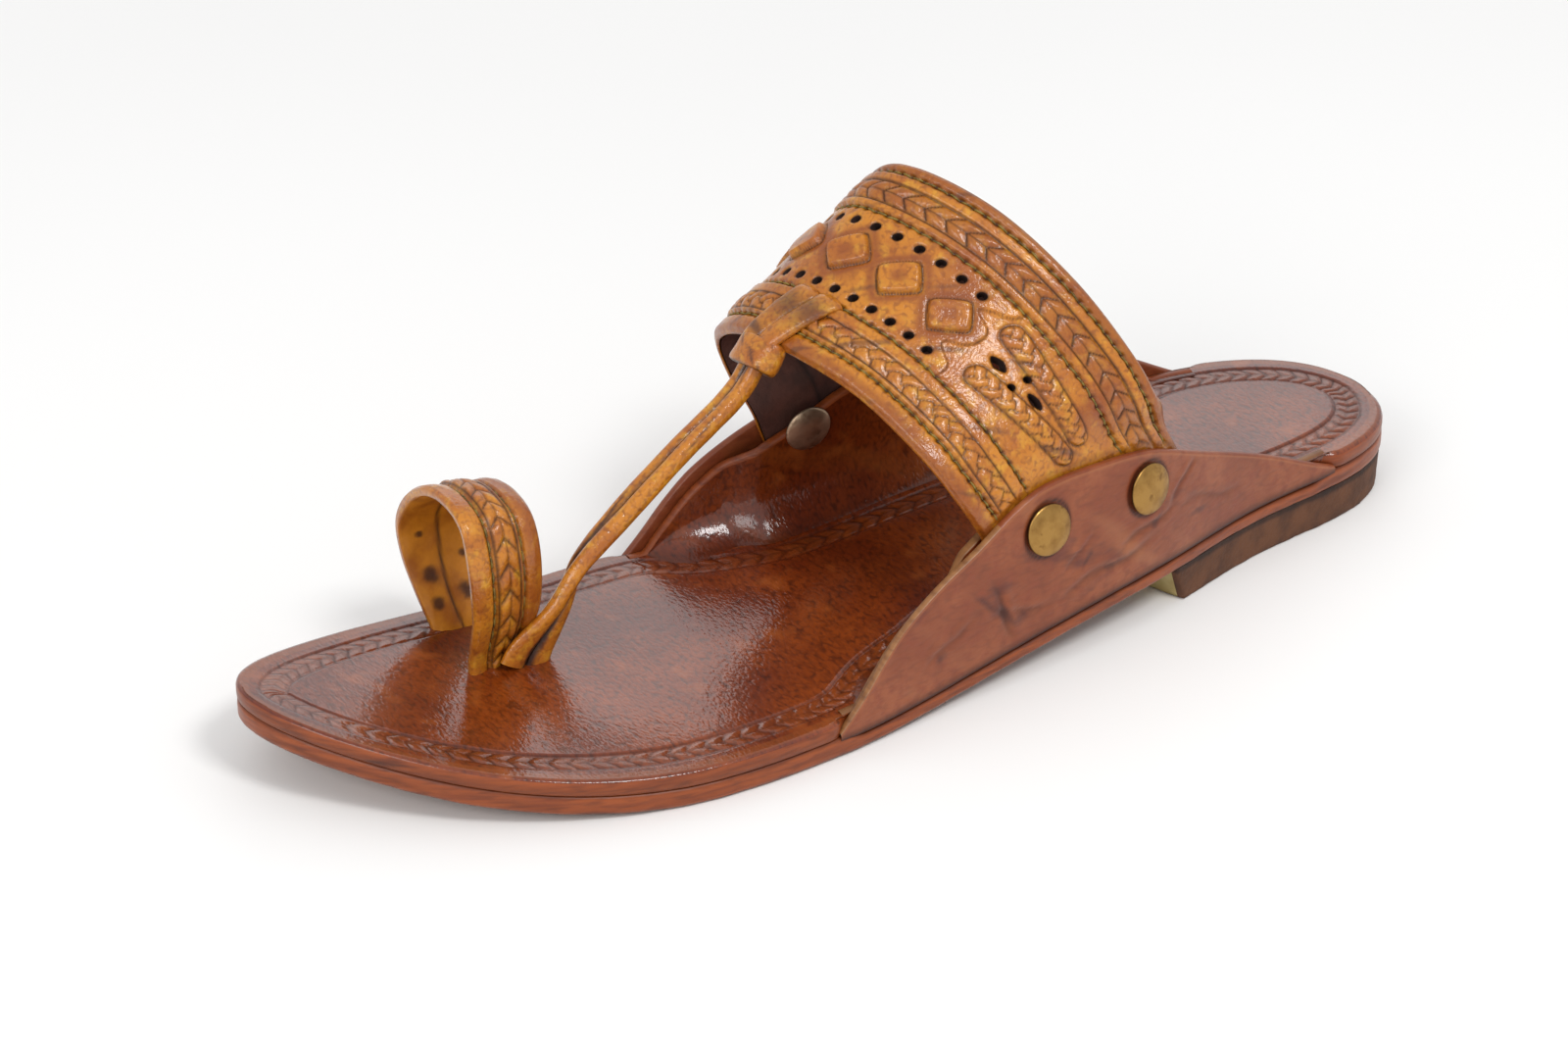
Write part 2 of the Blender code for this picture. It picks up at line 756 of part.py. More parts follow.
def add_motif(upper, cutters):
    """Two plaited arms that meet in a V on each side of the band."""
    for mirrored in (False, True):
        for start_across, start_along, end_across, end_along in MOTIF_ARMS:
            first, last = start_across, end_across
            if mirrored:
                first, last = mirrored_place(first), mirrored_place(last)
            across_step = last - first
            along_step = end_along - start_along
            width = band_width_at(first)
            length = abs(last - first) * TURNS[1]
            rise = (end_along - start_along) * width
            reach = math.hypot(length, rise)
            lean_across, lean_along = -rise / reach, length / reach
            if mirrored:
                lean_along = -lean_along

            def place(share, offset, height):
                across = first + across_step * share + offset * lean_across / TURNS[1]
                along = start_along + along_step * share + offset * lean_along / width
                return band_point(across, along, height)

            body = plait(place, reach, MOTIF_WIDTH, STRIP_RISE * 0.5, PLAIT_RISE)
            cut(upper, new_object("motif_arm", body, cutters), "UNION")


def add_lozenges(upper, cutters, band_length):
    """A row of raised lozenges across the band's middle, each with a corner towards the next."""
    for index in range(-LOZENGE_COUNT, LOZENGE_COUNT + 1):
        across = BAND_MIDDLE + index * LOZENGE_PITCH / band_length
        width = band_width_at(across)
        rings = []
        for height, share in ((-EMBED, 1.0), (LOZENGE_RISE * 0.7, 1.0), (LOZENGE_RISE, LOZENGE_TOP)):
            ring = []
            for corner in range(LOZENGE_SIDES):
                angle = 2 * math.pi * corner / LOZENGE_SIDES
                x, y = math.cos(angle), math.sin(angle)
                outline = (abs(x) ** LOZENGE_POWER + abs(y) ** LOZENGE_POWER) ** (1 / LOZENGE_POWER)
                reach = share * LOZENGE_DIAGONAL / 2 / outline
                ring.append(
                    band_point(across + reach * x / band_length, LOZENGE_ROW + reach * y / width, height)
                )
            rings.append(ring)
        cut(upper, new_object("lozenge", loft(rings), cutters), "UNION")


def add_holes(upper, cutters, band_length):
    """Rows of round holes punched through the band."""
    places = []
    for along, count, pitch in HOLE_ROWS:
        for index in range(-count, count + 1):
            places.append((BAND_MIDDLE + index * pitch / band_length, along, HOLE_DIAMETER))
    for across, along, diameter in MOTIF_HOLES:
        places.append((across, along, diameter))
    for across, along, diameter in MOTIF_HOLES[:1]:
        places.append((mirrored_place(across), along, diameter))
    body = bmesh.new()
    for across, along, diameter in places:
        outside = band_point(across, along, HOLE_PAST)
        inside = band_point(across, along, -BAND_THICKNESS - HOLE_PAST)
        axis = outside - inside
        turn = axis.to_track_quat("Z", "Y").to_matrix().to_4x4()
        bmesh.ops.create_cone(
            body,
            cap_ends=True,
            segments=HOLE_SIDES,
            radius1=diameter / 2,
            radius2=diameter / 2,
            depth=axis.length,
            matrix=Matrix.Translation((outside + inside) / 2) @ turn,
        )
    cut(upper, new_object("punched_holes", body, cutters))


def strap_section(row, tangent, grow):
    """Two rolled cords side by side: an oval with a waist, turned about the strap's run."""
    across, along, up, width, thick, turn = row
    centre = Vector((across * RING_WIDTH, along * SOLE_LENGTH, up * INSTEP_HEIGHT))
    flat = Vector((1, 0, 0)) - tangent * tangent.x
    flat.normalize()
    normal = tangent.cross(flat)
    angle = math.radians(turn)
    wide = flat * math.cos(angle) - normal * math.sin(angle)
    deep = tangent.cross(wide)
    ring = []
    for index in range(STRAP_SIDES):
        around = 2 * math.pi * index / STRAP_SIDES
        waist = 1 - STRAP_WAIST * abs(math.sin(around)) ** 6
        ring.append(
            centre
            + wide * (math.cos(around) * (width * STRAP_WIDTH / 2 + grow))
            + deep * (math.sin(around) * (waist * thick * STRAP_THICKNESS / 2 + grow))
        )
    return ring


def make_strap(name, cutters, grow=0.0, past=0.0):
    """The strap's run through its table, or the room it needs when it is grown and taken past its foot."""
    keyed = [(index, *row) for index, row in enumerate(STRAP_TABLE)]
    last = len(STRAP_TABLE) - 1

    def centre(key):
        across, along, up = smooth_curve(keyed, key)[:3]
        return Vector((across * RING_WIDTH, along * SOLE_LENGTH, up * INSTEP_HEIGHT))

    rings = []
    for step in range(STRAP_STEPS + 1):
        key = last * step / STRAP_STEPS
        tangent = (centre(min(key + 0.05, last)) - centre(max(key - 0.05, 0))).normalized()
        rings.append(strap_section(smooth_curve(keyed, key), tangent, grow))
    if past:
        rings.insert(0, [point - Vector((0, 0, past)) for point in rings[0]])
    return new_object(name, loft(rings), cutters)


def add_strap(upper, cutters):
    """Toe strap, the knot round it and the loop that holds it to the band's front edge."""
    cut(upper, make_strap("toe_strap", cutters), "UNION")
    top = STRAP_TABLE[-1]
    centre = Vector((top[0] * RING_WIDTH, top[1] * SOLE_LENGTH, top[2] * INSTEP_HEIGHT))
    body = bmesh.new()
    bmesh.ops.create_uvsphere(body, u_segments=16, v_segments=10, radius=0.5)
    size = Matrix.Diagonal((KNOT_WIDTH, KNOT_DEPTH, KNOT_HEIGHT, 1))
    tilt = Matrix.Rotation(math.radians(KNOT_TILT), 4, "X")
    bmesh.ops.transform(body, matrix=Matrix.Translation(centre) @ tilt @ size, verts=body.verts)
    cut(upper, new_object("knot", body, cutters), "UNION")
    across = nearest_across(centre)
    length = TURNS[1]
    rings = []
    for share, rise in LOOP_RUN:
        ring = []
        for offset, lift in LOOP_SECTION:
            spot = across + offset * LOOP_WIDTH / 2 / length
            ring.append(band_point(spot, share, lift * rise * LOOP_RISE + 0.1 * MM))
        for offset in (1, -1):
            spot = across + offset * LOOP_WIDTH / 2 / length
            ring.append(band_point(spot, share, -0.7 * BAND_THICKNESS))
        rings.append(ring)
    cut(upper, new_object("loop", loft(rings), cutters), "UNION")


def nearest_across(spot):
    """Share across the band where the front edge, arching over the foot, is closest in X to a point."""
    low, high, steps = 0.30, 0.75, 180
    shares = [low + (high - low) * step / steps for step in range(steps + 1)]
    return min(shares, key=lambda share: abs(band_point(share, 0.0, 0.0).x - spot.x))


# Toe ring


def ring_point(turn, along, height):
    """Point over the ring's outer face: a share round it, a share of its depth and a height outwards."""
    keyed = [(index, *row) for index, row in enumerate(RING_TABLE)]
    last = len(RING_TABLE) - 1
    key = turn * last
    scale = 1 - (1 - RING_TAPER) * along

    def spot(value):
        across, up, set_back, shift = smooth_curve(keyed, value)
        place = 0.5 + (across - 0.5) * scale + shift * along
        y = along_y(RING_FRONT_SHARE) + (along + set_back * (1 - along)) * RING_DEPTH
        rise = up * RING_HEIGHT * (scale if up > 0 else 1)
        return Vector((RING_SIDE_X - place * RING_WIDTH, y, top_sole_top(along_share(y)) + rise))

    before, after = spot(max(key - 0.03, 0)), spot(min(key + 0.03, last))
    normal = Vector((0, 1, 0)).cross(after - before).normalized()
    return spot(key) + normal * height


def ring_height(along):
    if along in (0.0, 1.0):
        return -RING_EDGE_DROP
    for start, end in RING_GROOVES:
        if start < along < end:
            return -RING_GROOVE
    return 0.0


def make_toe_ring(parts, cutters, material):
    step = 0.012
    alongs = [0.0, 0.05]
    for start, end in RING_GROOVES:
        alongs += [start, start + step, end - step, end]
    alongs += [0.95, 1.0]
    turns = [index / RING_STEPS for index in range(RING_STEPS + 1)]
    outer = [[ring_point(turn, along, ring_height(along)) for along in alongs] for turn in turns]
    inner = [[ring_point(turn, along, -RING_THICKNESS) for along in alongs] for turn in turns]
    ring = new_object("toe_ring", slab(outer, inner), parts, material)
    low, high = RING_PLAIT_ENDS

    def place(share, offset, height):
        return ring_point(low + (high - low) * share, RING_PLAIT + offset / RING_DEPTH, height)

    length = RING_GIRTH * RING_HEIGHT * (high - low)
    body = plait(place, length, PLAIT_WIDTH, RING_PLAIT_FOOT, PLAIT_RISE)
    cut(ring, new_object("ring_plait", body, cutters), "UNION")
    return ring


def ring_foot_cutter(cutters, first, last, name):
    """The ring's foot between two of its steps, grown by the clearance: the slot through the sole."""
    turns = [step / RING_STEPS for step in range(first, last + 1)]
    past = CLEARANCE / RING_DEPTH
    alongs = (-past, 1 + past)
    outer = [[ring_point(turn, along, CLEARANCE) for along in alongs] for turn in turns]
    inner = [[ring_point(turn, along, -RING_THICKNESS - CLEARANCE) for along in alongs] for turn in turns]
    drop = Vector((0, 0, TOP_SOLE_THICKNESS))
    for rows in (outer, inner):
        if first == 0:
            rows.insert(0, [point - drop for point in rows[0]])
        else:
            rows.append([point - drop for point in rows[-1]])
    return new_object(name, slab(outer, inner), cutters)


# Rivets


def rivet_frame(side, share, height):
    """Place and axis of a rivet: on the flap's outer face, square to it."""
    front, rear = FLAP_TIPS[side]
    station = front - (front - rear) * share
    y = along_y(station)
    z = outsole_top(station) + height * FLAP_HEIGHT[side]
    reach = 2 * MM
    spot = Vector((wall_x(side, y, z, 0.0), y, z))
    up = Vector((wall_x(side, y, z + reach, 0.0), y, z + reach)) - spot
    back = Vector((wall_x(side, y + reach, z, 0.0), y + reach, z)) - spot
    normal = up.cross(back).normalized()
    if normal.x * side < 0:
        normal.negate()
    turn = normal.to_track_quat("Z", "Y").to_matrix().to_4x4()
    return Matrix.Translation(spot) @ turn, wing_inset(side, y) + WING_THICKNESS


def rivet_profile(depth):
    """Half section from the outer cap's top, down the outside to the inner cap's middle."""
    outer, inner, shank = RIVET_CAP_DIAMETER / 2, RIVET_INNER_DIAMETER / 2, RIVET_SHANK_DIAMETER / 2
    seat = CLEARANCE
    low = -depth - RIVET_SEAT_GAP
    profile = []
    angles = [0.5 * math.pi * step / RIVET_CAP_STEPS for step in range(RIVET_CAP_STEPS + 1)]
    for angle in angles:
        profile.append((outer * math.sin(angle), seat + RIVET_RIM + RIVET_CAP_HEIGHT * math.cos(angle)))
    profile.append((outer, seat))
    profile.append((shank, seat))
    profile.append((shank, low))
    profile.append((inner, low))
    for angle in angles:
        profile.append((inner * math.cos(angle), low - RIVET_RIM - RIVET_CAP_HEIGHT * math.sin(angle)))
    return profile


def make_rivets(parts, cutters, held, material):
    """Each rivet goes through flap, band and wing, and each of them gets its hole."""
    for name, side, share, height in RIVET_TABLE:
        frame, depth = rivet_frame(side, share, height)
        rivet = turned(name, rivet_profile(depth), parts, material)
        rivet.matrix_world = frame
        body = bmesh.new()
        bmesh.ops.create_cone(
            body,
            cap_ends=True,
            segments=RIVET_SIDES,
            radius1=RIVET_SHANK_DIAMETER / 2 + CLEARANCE,
            radius2=RIVET_SHANK_DIAMETER / 2 + CLEARANCE,
            depth=2 * (depth + RIVET_HOLE_PAST),
            matrix=frame @ Matrix.Translation((0, 0, -depth / 2)),
        )
        hole = new_object(name + "_hole", body, cutters)
        for piece in held[side]:
            cut(piece, hole)


def turned(name, profile, collection, material):
    """Turns a profile about its own Z axis."""
    body = bmesh.new()
    spots = [body.verts.new((x, 0, z)) for x, z in profile]
    for first, second in zip(spots, spots[1:]):
        body.edges.new((first, second))
    mesh = bpy.data.meshes.new(name)
    body.to_mesh(mesh)
    body.free()
    item = bpy.data.objects.new(name, mesh)
    collection.objects.link(item)
    mesh.materials.append(material)
    screw = item.modifiers.new("turn", "SCREW")
    screw.steps = RIVET_SIDES
    screw.render_steps = RIVET_SIDES
    screw.use_merge_vertices = True
    screw.merge_threshold = 0.00001
    return item


def middle_x():
    """X halfway between the outermost points: the sole's widest place and the toe ring's outer side."""
    lateral = max(sole_edge(index / 100, LATERAL) for index in range(101))
    medial = min(sole_edge(index / 100, MEDIAL) for index in range(101))
    ring = min(ring_point(index / 100, RING_PLAIT, PLAIT_RISE).x for index in range(101))
    return 0.5 * (lateral + min(medial, ring))


def main():
    for item in list(bpy.data.objects):
        bpy.data.objects.remove(item, do_unlink=True)
    parts = bpy.data.collections.new("kolhapuri_chappal")
    cutters = bpy.data.collections.new("cutters")
    bpy.context.scene.collection.children.link(parts)
    bpy.context.scene.collection.children.link(cutters)
    materials = {name: make_material(name) for name in COLOURS}
    rows, band_length = band_turns()
    TURNS.extend((rows, band_length))

    outsole = make_outsole(parts, materials["sole_edge_leather"])
    top_sole = make_top_sole(parts, cutters, materials["varnished_sole_leather"])
    make_heel(parts, materials["heel_block"])
    flaps = {}
    for side, name in ((LATERAL, "side_flap_lateral"), (MEDIAL, "side_flap_medial")):
        flaps[side] = new_object(name, loft(flap_rings(side)), parts, materials["flap_leather"])
        room = new_object(name + "_room", loft(flap_rings(side, CLEARANCE)), cutters)
        cut(outsole, room)
        cut(top_sole, room)

    upper = make_band(parts, materials["honey_leather"])
    held = {side: (flaps[side], upper, top_sole) for side in (LATERAL, MEDIAL)}
    make_rivets(parts, cutters, held, materials["rivet_brass"])
    add_band_plaits(upper, cutters, band_length)
    add_motif(upper, cutters)
    add_lozenges(upper, cutters, band_length)
    add_strap(upper, cutters)
    add_holes(upper, cutters, band_length)

    make_toe_ring(parts, cutters, materials["honey_leather"])
    for name, first, last in (("near_slot", 0, 4), ("far_slot", RING_STEPS - 4, RING_STEPS)):
        cut(top_sole, ring_foot_cutter(cutters, first, last, name))
    cut(top_sole, make_strap("strap_slot", cutters, CLEARANCE, TOP_SOLE_THICKNESS))

    shift = Matrix.Translation((-middle_x(), 0, 0))
    for item in [*parts.objects, *cutters.objects]:
        item.matrix_world = shift @ item.matrix_world


main()
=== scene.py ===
"""Looks of a kolhapuri chappal for the left foot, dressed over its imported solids.

Metres, +Z up. The toe points along -Y, the little toe's side is +X, and the ground is at Z = 0.
"""
import math

import bpy
import numpy as np
from mathutils import Matrix, Vector


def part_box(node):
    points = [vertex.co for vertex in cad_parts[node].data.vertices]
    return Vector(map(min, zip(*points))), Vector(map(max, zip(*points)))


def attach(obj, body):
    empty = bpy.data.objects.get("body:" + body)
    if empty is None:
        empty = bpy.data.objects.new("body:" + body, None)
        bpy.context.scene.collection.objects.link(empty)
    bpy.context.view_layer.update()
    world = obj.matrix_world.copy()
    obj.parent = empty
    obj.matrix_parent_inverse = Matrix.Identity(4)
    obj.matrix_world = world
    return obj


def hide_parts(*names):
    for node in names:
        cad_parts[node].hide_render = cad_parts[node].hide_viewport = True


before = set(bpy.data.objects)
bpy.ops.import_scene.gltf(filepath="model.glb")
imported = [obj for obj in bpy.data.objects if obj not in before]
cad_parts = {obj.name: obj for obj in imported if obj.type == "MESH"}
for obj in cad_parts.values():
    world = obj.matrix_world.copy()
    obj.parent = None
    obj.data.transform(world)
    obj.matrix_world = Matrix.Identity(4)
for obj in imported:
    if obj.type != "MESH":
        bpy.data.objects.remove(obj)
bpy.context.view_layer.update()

MM = 0.001
CLEARANCE = 0.3 * MM

# Sole, as in the solids
SOLE_LENGTH = 280 * MM
BALL_WIDTH = 87 * MM
HEEL_WIDTH = 58 * MM
TOE_SPRING = 12.5 * MM
HEEL_HEIGHT = 9.2 * MM
OUTSOLE_THICKNESS = 4.5 * MM
TOP_SOLE_THICKNESS = 3.5 * MM
SKIVE_DEPTH = 1.55 * MM
HEEL_INSET = 0.6 * MM
BREAST_SLANT = 3.0 * MM
BREAST_BULGE = 8.0 * MM

# Side flaps and inner wings
FLAP_THICKNESS = 1.9 * MM
FLAP_ROUND = 0.6 * MM
FLAP_HEIGHT_LATERAL = 32.0 * MM
FLAP_HEIGHT_MEDIAL = 36.0 * MM
WALL_LEAN = 3.0 * MM
WING_THICKNESS = 2.2 * MM
WING_DROP = 3.0 * MM
WING_FILLET = 7.0 * MM
WING_GAP = 0.45 * MM
WING_ROUND = 0.4 * MM
HELD_REACH = 8.0 * MM
HELD_MARGIN = 0.8 * MM
WING_TOP_ACROSS = 0.13

# Instep band
INSTEP_HEIGHT = 97 * MM
BAND_THICKNESS = 2.8 * MM
EDGE_BEND = 1.2 * MM
HELD_OVER = 3.5 * MM
HELD_FADE = 9.0 * MM
PLAIT_WIDTH = 5.2 * MM
PLAIT_PITCH = 4.8 * MM
PLAIT_RISE = 1.0 * MM
STITCH_PITCH = 2.7 * MM
STITCH_DEPTH = 0.60 * MM
THREAD_RADIUS = 0.24 * MM
THREAD_SINK = 0.05 * MM
PRESSED_LINE = 0.30 * MM
OVERLAY_STEP = 0.35 * MM
HOLE_DIAMETER = 2.1 * MM
LINING_HOLE_SHRINK = 0.75 * MM
LOZENGE_REACH = 4.8 * MM
LOZENGE_POWER = 1.10
LOZENGE_CORNER = 0.4 * MM
LOZENGE_RISE = 1.5 * MM
LOZENGE_PITCH = 13.5 * MM
LOZENGES_EACH_SIDE = 2
ARM_WIDTH = 5.6 * MM
ARM_TAPER = 0.12
ARM_PITCH = 3.6 * MM
ARM_RISE = 0.85 * MM

# Toe strap and toe ring
STRAP_WIDTH = 6.9 * MM
STRAP_THICKNESS = 4.2 * MM
KNOT_WIDTH = 12.5 * MM
KNOT_HEIGHT = 7.0 * MM
KNOT_DEPTH = 7.5 * MM
LOOP_WIDTH = 11.4 * MM
LOOP_RISE = 2.3 * MM
RING_WIDTH = 35 * MM
RING_HEIGHT = 39 * MM
RING_DEPTH = 17 * MM
RING_THICKNESS = 2.8 * MM
RING_THREAD_RADIUS = 0.26 * MM

# Rivets
RIVET_CAP_DIAMETER = 11.5 * MM
RIVET_INNER_DIAMETER = 10.8 * MM
RIVET_CAP_HEIGHT = 1.5 * MM
RIVET_RIM = 0.5 * MM
RIVET_SEAT_GAP = 0.5 * MM
RIVET_SHANK = 2.0 * MM

# Stamped border of the top sole
BORDER_INSET = 3.6 * MM
BORDER_WIDTH = 5.4 * MM
BORDER_PITCH = 4.4 * MM
BORDER_DEPTH = 0.60 * MM

LATERAL = 1
MEDIAL = -1

# share of length from the heel, centre as share of ball width, half width as shares of heel and ball width
SOLE_TABLE = (
    (0.00, -0.020, 0.505, 0.000),
    (0.15, -0.037, 0.496, 0.000),
    (0.32, 0.040, 0.300, 0.195),
    (0.48, 0.056, 0.100, 0.378),
    (0.62, 0.063, 0.000, 0.492),
    (0.75, 0.059, 0.000, 0.518),
    (0.88, -0.003, 0.000, 0.522),
    (1.00, -0.101, 0.000, 0.462),
)
HEEL_CAP_SHARE, HEEL_CAP_POWER = 0.173, 2.3
TOE_CAP_SHARE, TOE_CAP_POWER = 0.379, 2.0
SPRING_START = 0.72
SHANK_START, SHANK_END = 0.285, 0.62
BREAST_SHARE = 0.275

# share along a flap from its front tip, height as share of the flap's height
FLAP_TABLE = (
    (0.00, 0.03),
    (0.04, 0.21),
    (0.08, 0.41),
    (0.12, 0.57),
    (0.18, 0.71),
    (0.26, 0.83),
    (0.33, 0.95),
    (0.39, 1.00),
    (0.50, 0.945),
    (0.59, 0.86),
    (0.72, 0.61),
    (0.86, 0.33),
    (0.95, 0.13),
    (1.00, 0.03),
)
LATERAL_TIPS = (0.614, 0.092)
MEDIAL_TIPS = (0.632, 0.100)

# the band's front and back edges: across as share of half the ball width, along as share of the sole's
# length from its middle, up as share of the instep height
BAND_TABLE = (
    ((0.91, 0.060, 0.206), (0.76, 0.264, 0.226)),
    ((0.91, 0.036, 0.350), (0.77, 0.236, 0.360)),
    ((0.84, 0.016, 0.459), (0.78, 0.205, 0.526)),
    ((0.67, -0.002, 0.557), (0.70, 0.186, 0.650)),
    ((0.32, -0.021, 0.640), (0.46, 0.154, 0.814)),
    ((-0.05, -0.043, 0.686), (0.09, 0.120, 0.940)),
    ((-0.41, -0.054, 0.680), (-0.32, 0.087, 0.992)),
    ((-0.69, -0.052, 0.629), (-0.62, 0.086, 0.930)),
    ((-0.84, -0.042, 0.557), (-0.79, 0.104, 0.800)),
    ((-0.81, -0.027, 0.433), (-0.83, 0.136, 0.620)),
    ((-0.73, -0.012, 0.320), (-0.77, 0.168, 0.400)),
    ((-0.70, 0.007, 0.206), (-0.72, 0.193, 0.226)),
)
# share along the band's width from its front edge, height of its strips and grooves in millimetres
STRIP_TABLE = (
    (0.000, 0.00),
    (0.070, 0.10),
    (0.082, -0.25),
    (0.094, -0.25),
    (0.102, 0.55),
    (0.110, 0.60),
    (0.117, 0.05),
    (0.208, 0.05),
    (0.216, 0.60),
    (0.258, 0.65),
    (0.268, -0.20),
    (0.284, -0.20),
    (0.292, 0.00),
    (0.726, 0.00),
    (0.732, -0.20),
    (0.745, -0.20),
    (0.753, 0.60),
    (0.778, 0.65),
    (0.785, 0.05),
    (0.892, 0.05),
    (0.900, 0.65),
    (0.932, 0.65),
    (0.942, -0.25),
    (0.955, -0.25),
    (0.965, 0.15),
    (1.000, 0.05),
)
STITCH_ROWS = (0.088, 0.276, 0.738, 0.948)
# plaited strips: middle along the band's width, whether they are chevrons, and how dark their creases
# and their leather are
BAND_PLAITS = ((0.163, False, 0.8, 0.1), (0.838, True, 0.95, 0.45))
PLAIT_GROOVES = (0.117, 0.208, 0.785, 0.892)
# rows of punched holes: place along the band's width, how many on each side of the middle, and their pitch
HOLE_ROWS = ((0.337, 6, 5.2 * MM), (0.670, 5, 5.4 * MM))
LOZENGE_ROW = 0.515
BAND_MIDDLE = 0.53
# the two plaited arms on each side: start and end across the band and along its width
MOTIF_ARMS = ((0.320, 0.640, 0.177, 0.600), (0.298, 0.409, 0.162, 0.497))
MOTIF_START = 0.21
MEDIAL_SHORTENING = 0.38
# holes between the arms: across, along, half length and half width in millimetres, power of their outline
MOTIF_HOLES = (
    (0.300, 0.510, 2.3, 1.2, 1.3),
    (0.268, 0.560, 0.8, 0.8, 2.0),
    (0.268, 0.485, 0.8, 0.8, 2.0),
    (0.240, 0.525, 2.2, 0.9, 1.6),
)
# edge of the scalloped overlay: share along the band's width, place across it
SCALLOP_TABLE = (
    (0.29, 0.322),
    (0.35, 0.328),
    (0.39, 0.352),
    (0.42, 0.356),
    (0.46, 0.340),
    (0.52, 0.335),
    (0.58, 0.343),
    (0.61, 0.368),
    (0.64, 0.362),
    (0.68, 0.342),
    (0.73, 0.334),
)

# across as share of the ring's width from its little-toe side, up as share of its height over the sole,
# how far the front edge is set back as share of its depth, and the back edge's shift as share of its width
RING_TABLE = (
    (0.112, -0.085, 0.06, 0.130),
    (0.100, 0.080, 0.05, 0.130),
    (0.010, 0.360, 0.03, 0.050),
    (0.010, 0.670, 0.00, 0.010),
    (0.110, 0.920, 0.00, 0.000),
    (0.330, 1.000, 0.00, 0.000),
    (0.600, 0.965, 0.00, 0.000),
    (0.860, 0.810, 0.00, 0.000),
    (1.015, 0.590, 0.00, 0.000),
    (0.995, 0.370, 0.03, 0.000),
    (0.890, 0.160, 0.10, 0.000),
    (0.790, -0.010, 0.18, 0.000),
    (0.760, -0.085, 0.18, 0.000),
)
RING_SIDE_X = -1.7 * MM
RING_FRONT_SHARE = 0.8214
RING_TAPER = 0.96
RING_GIRTH = 2.6
# about how far it is round the ring, for its plait and stitches
RING_ROUND = RING_GIRTH * RING_HEIGHT
# share of the ring's depth from its front edge, height of its rolls and grooves in millimetres
RING_STRIP_TABLE = (
    (0.000, -0.60),
    (0.060, 0.00),
    (0.150, 0.15),
    (0.250, 0.00),
    (0.275, -0.60),
    (0.310, -0.60),
    (0.335, 0.00),
    (0.345, 0.05),
    (0.665, 0.05),
    (0.680, 0.25),
    (0.700, 0.25),
    (0.715, -0.60),
    (0.750, -0.60),
    (0.780, 0.10),
    (0.870, 0.25),
    (0.950, 0.00),
    (1.000, -0.60),
)
RING_STITCH_ROWS = (0.293, 0.733)
RING_GROOVES = (0.293, 0.345, 0.665, 0.733)
RING_PLAIT = 0.500

# brown stains inside the ring: share round it, share of its depth, radius in millimetres
RING_STAINS = (
    (0.84, 0.72, 2.0),
    (0.80, 0.28, 1.8),
    (0.86, 0.22, 1.5),
    (0.76, 0.80, 1.0),
    (0.70, 0.25, 0.8),
    (0.62, 0.70, 0.7),
)

# toe strap: across, along and up as shares of the ring's width, the sole's length and the instep height;
# width and thickness as shares of the strap's; and the turn of its wide axis in degrees
STRAP_TABLE = (
    (-0.160, -0.2755, 0.086, 1.75, 0.62, 88),
    (-0.160, -0.2680, 0.124, 1.65, 0.70, 86),
    (-0.165, -0.2450, 0.201, 1.12, 0.85, 72),
    (-0.185, -0.2225, 0.296, 0.95, 0.95, 38),
    (-0.230, -0.1780, 0.388, 0.98, 1.00, 10),
    (-0.270, -0.1250, 0.490, 1.00, 1.00, 0),
    (-0.310, -0.0780, 0.572, 1.00, 1.00, 0),
    (-0.330, -0.0540, 0.655, 1.00, 1.00, 0),
)

RIVETS = (
    # node, side, share along the flap from its front tip, height over the fold as share of the flap's
    ("rivet_lateral_front", LATERAL, 0.384, 0.715),
    ("rivet_lateral_rear", LATERAL, 0.580, 0.615),
    ("rivet_medial_front", MEDIAL, 0.283, 0.745),
    ("rivet_medial_rear", MEDIAL, 0.470, 0.660),
)

# speeds and phases of the slow swings that make surfaces uneven, and the sum of their parts
SWINGS = ((1.0, 0.3), (1.9, 2.1), (3.1, 4.4), (4.7, 1.2))
SWING_TOTAL = 2.08

# both flaps are about this share of the sole's length, which the creases' lengths are drawn by
FLAP_REACH = 0.52
# creases of the side flaps: share along the flap from its front tip, height as share of the flap's height,
# length, slope upwards to the heel, depth and width in millimetres
FLAP_CREASES = (
    (0.30, 0.30, 15.0, -2.20, 0.50, 1.7),
    (0.33, 0.24, 15.0, -0.20, 0.40, 1.5),
    (0.50, 0.20, 26.0, 0.05, 0.40, 1.8),
    (0.58, 0.34, 15.0, 0.25, 0.45, 1.5),
    (0.66, 0.55, 12.0, 1.20, 0.35, 1.4),
    (0.72, 0.30, 18.0, -0.20, 0.30, 1.8),
    (0.20, 0.30, 12.0, 0.50, 0.25, 1.5),
    (0.44, 0.42, 9.0, 0.90, 0.25, 1.2),
)

# dark stains of the side flaps: share along the flap, height as share of the flap's height, half length and
# half height in millimetres, and how far they lean to the heel as they rise
FLAP_STAINS = (
    (0.300, 0.30, 1.6, 5.0, -0.5),
    (0.335, 0.20, 3.4, 1.6, 0.0),
    (0.270, 0.42, 1.0, 3.4, -0.8),
    (0.520, 0.20, 5.0, 1.1, 0.0),
    (0.600, 0.36, 1.4, 3.0, 0.8),
    (0.455, 0.34, 1.0, 2.4, 0.9),
    (0.180, 0.22, 1.6, 1.4, 0.0),
    (0.700, 0.24, 4.0, 0.9, 0.2),
)


# the strap's two ends over the band's front edge: share along the band's width, height over its face in
# millimetres, and how far they fan out as share of the loop's quarter width
LOOP_TABLE = (
    (-0.050, -1.60, 0.84),
    (-0.026, 0.10, 0.86),
    (0.030, 0.75, 0.90),
    (0.120, 1.05, 0.98),
    (0.200, 0.95, 1.04),
    (0.255, 0.55, 1.08),
    (0.285, -0.90, 1.10),
)

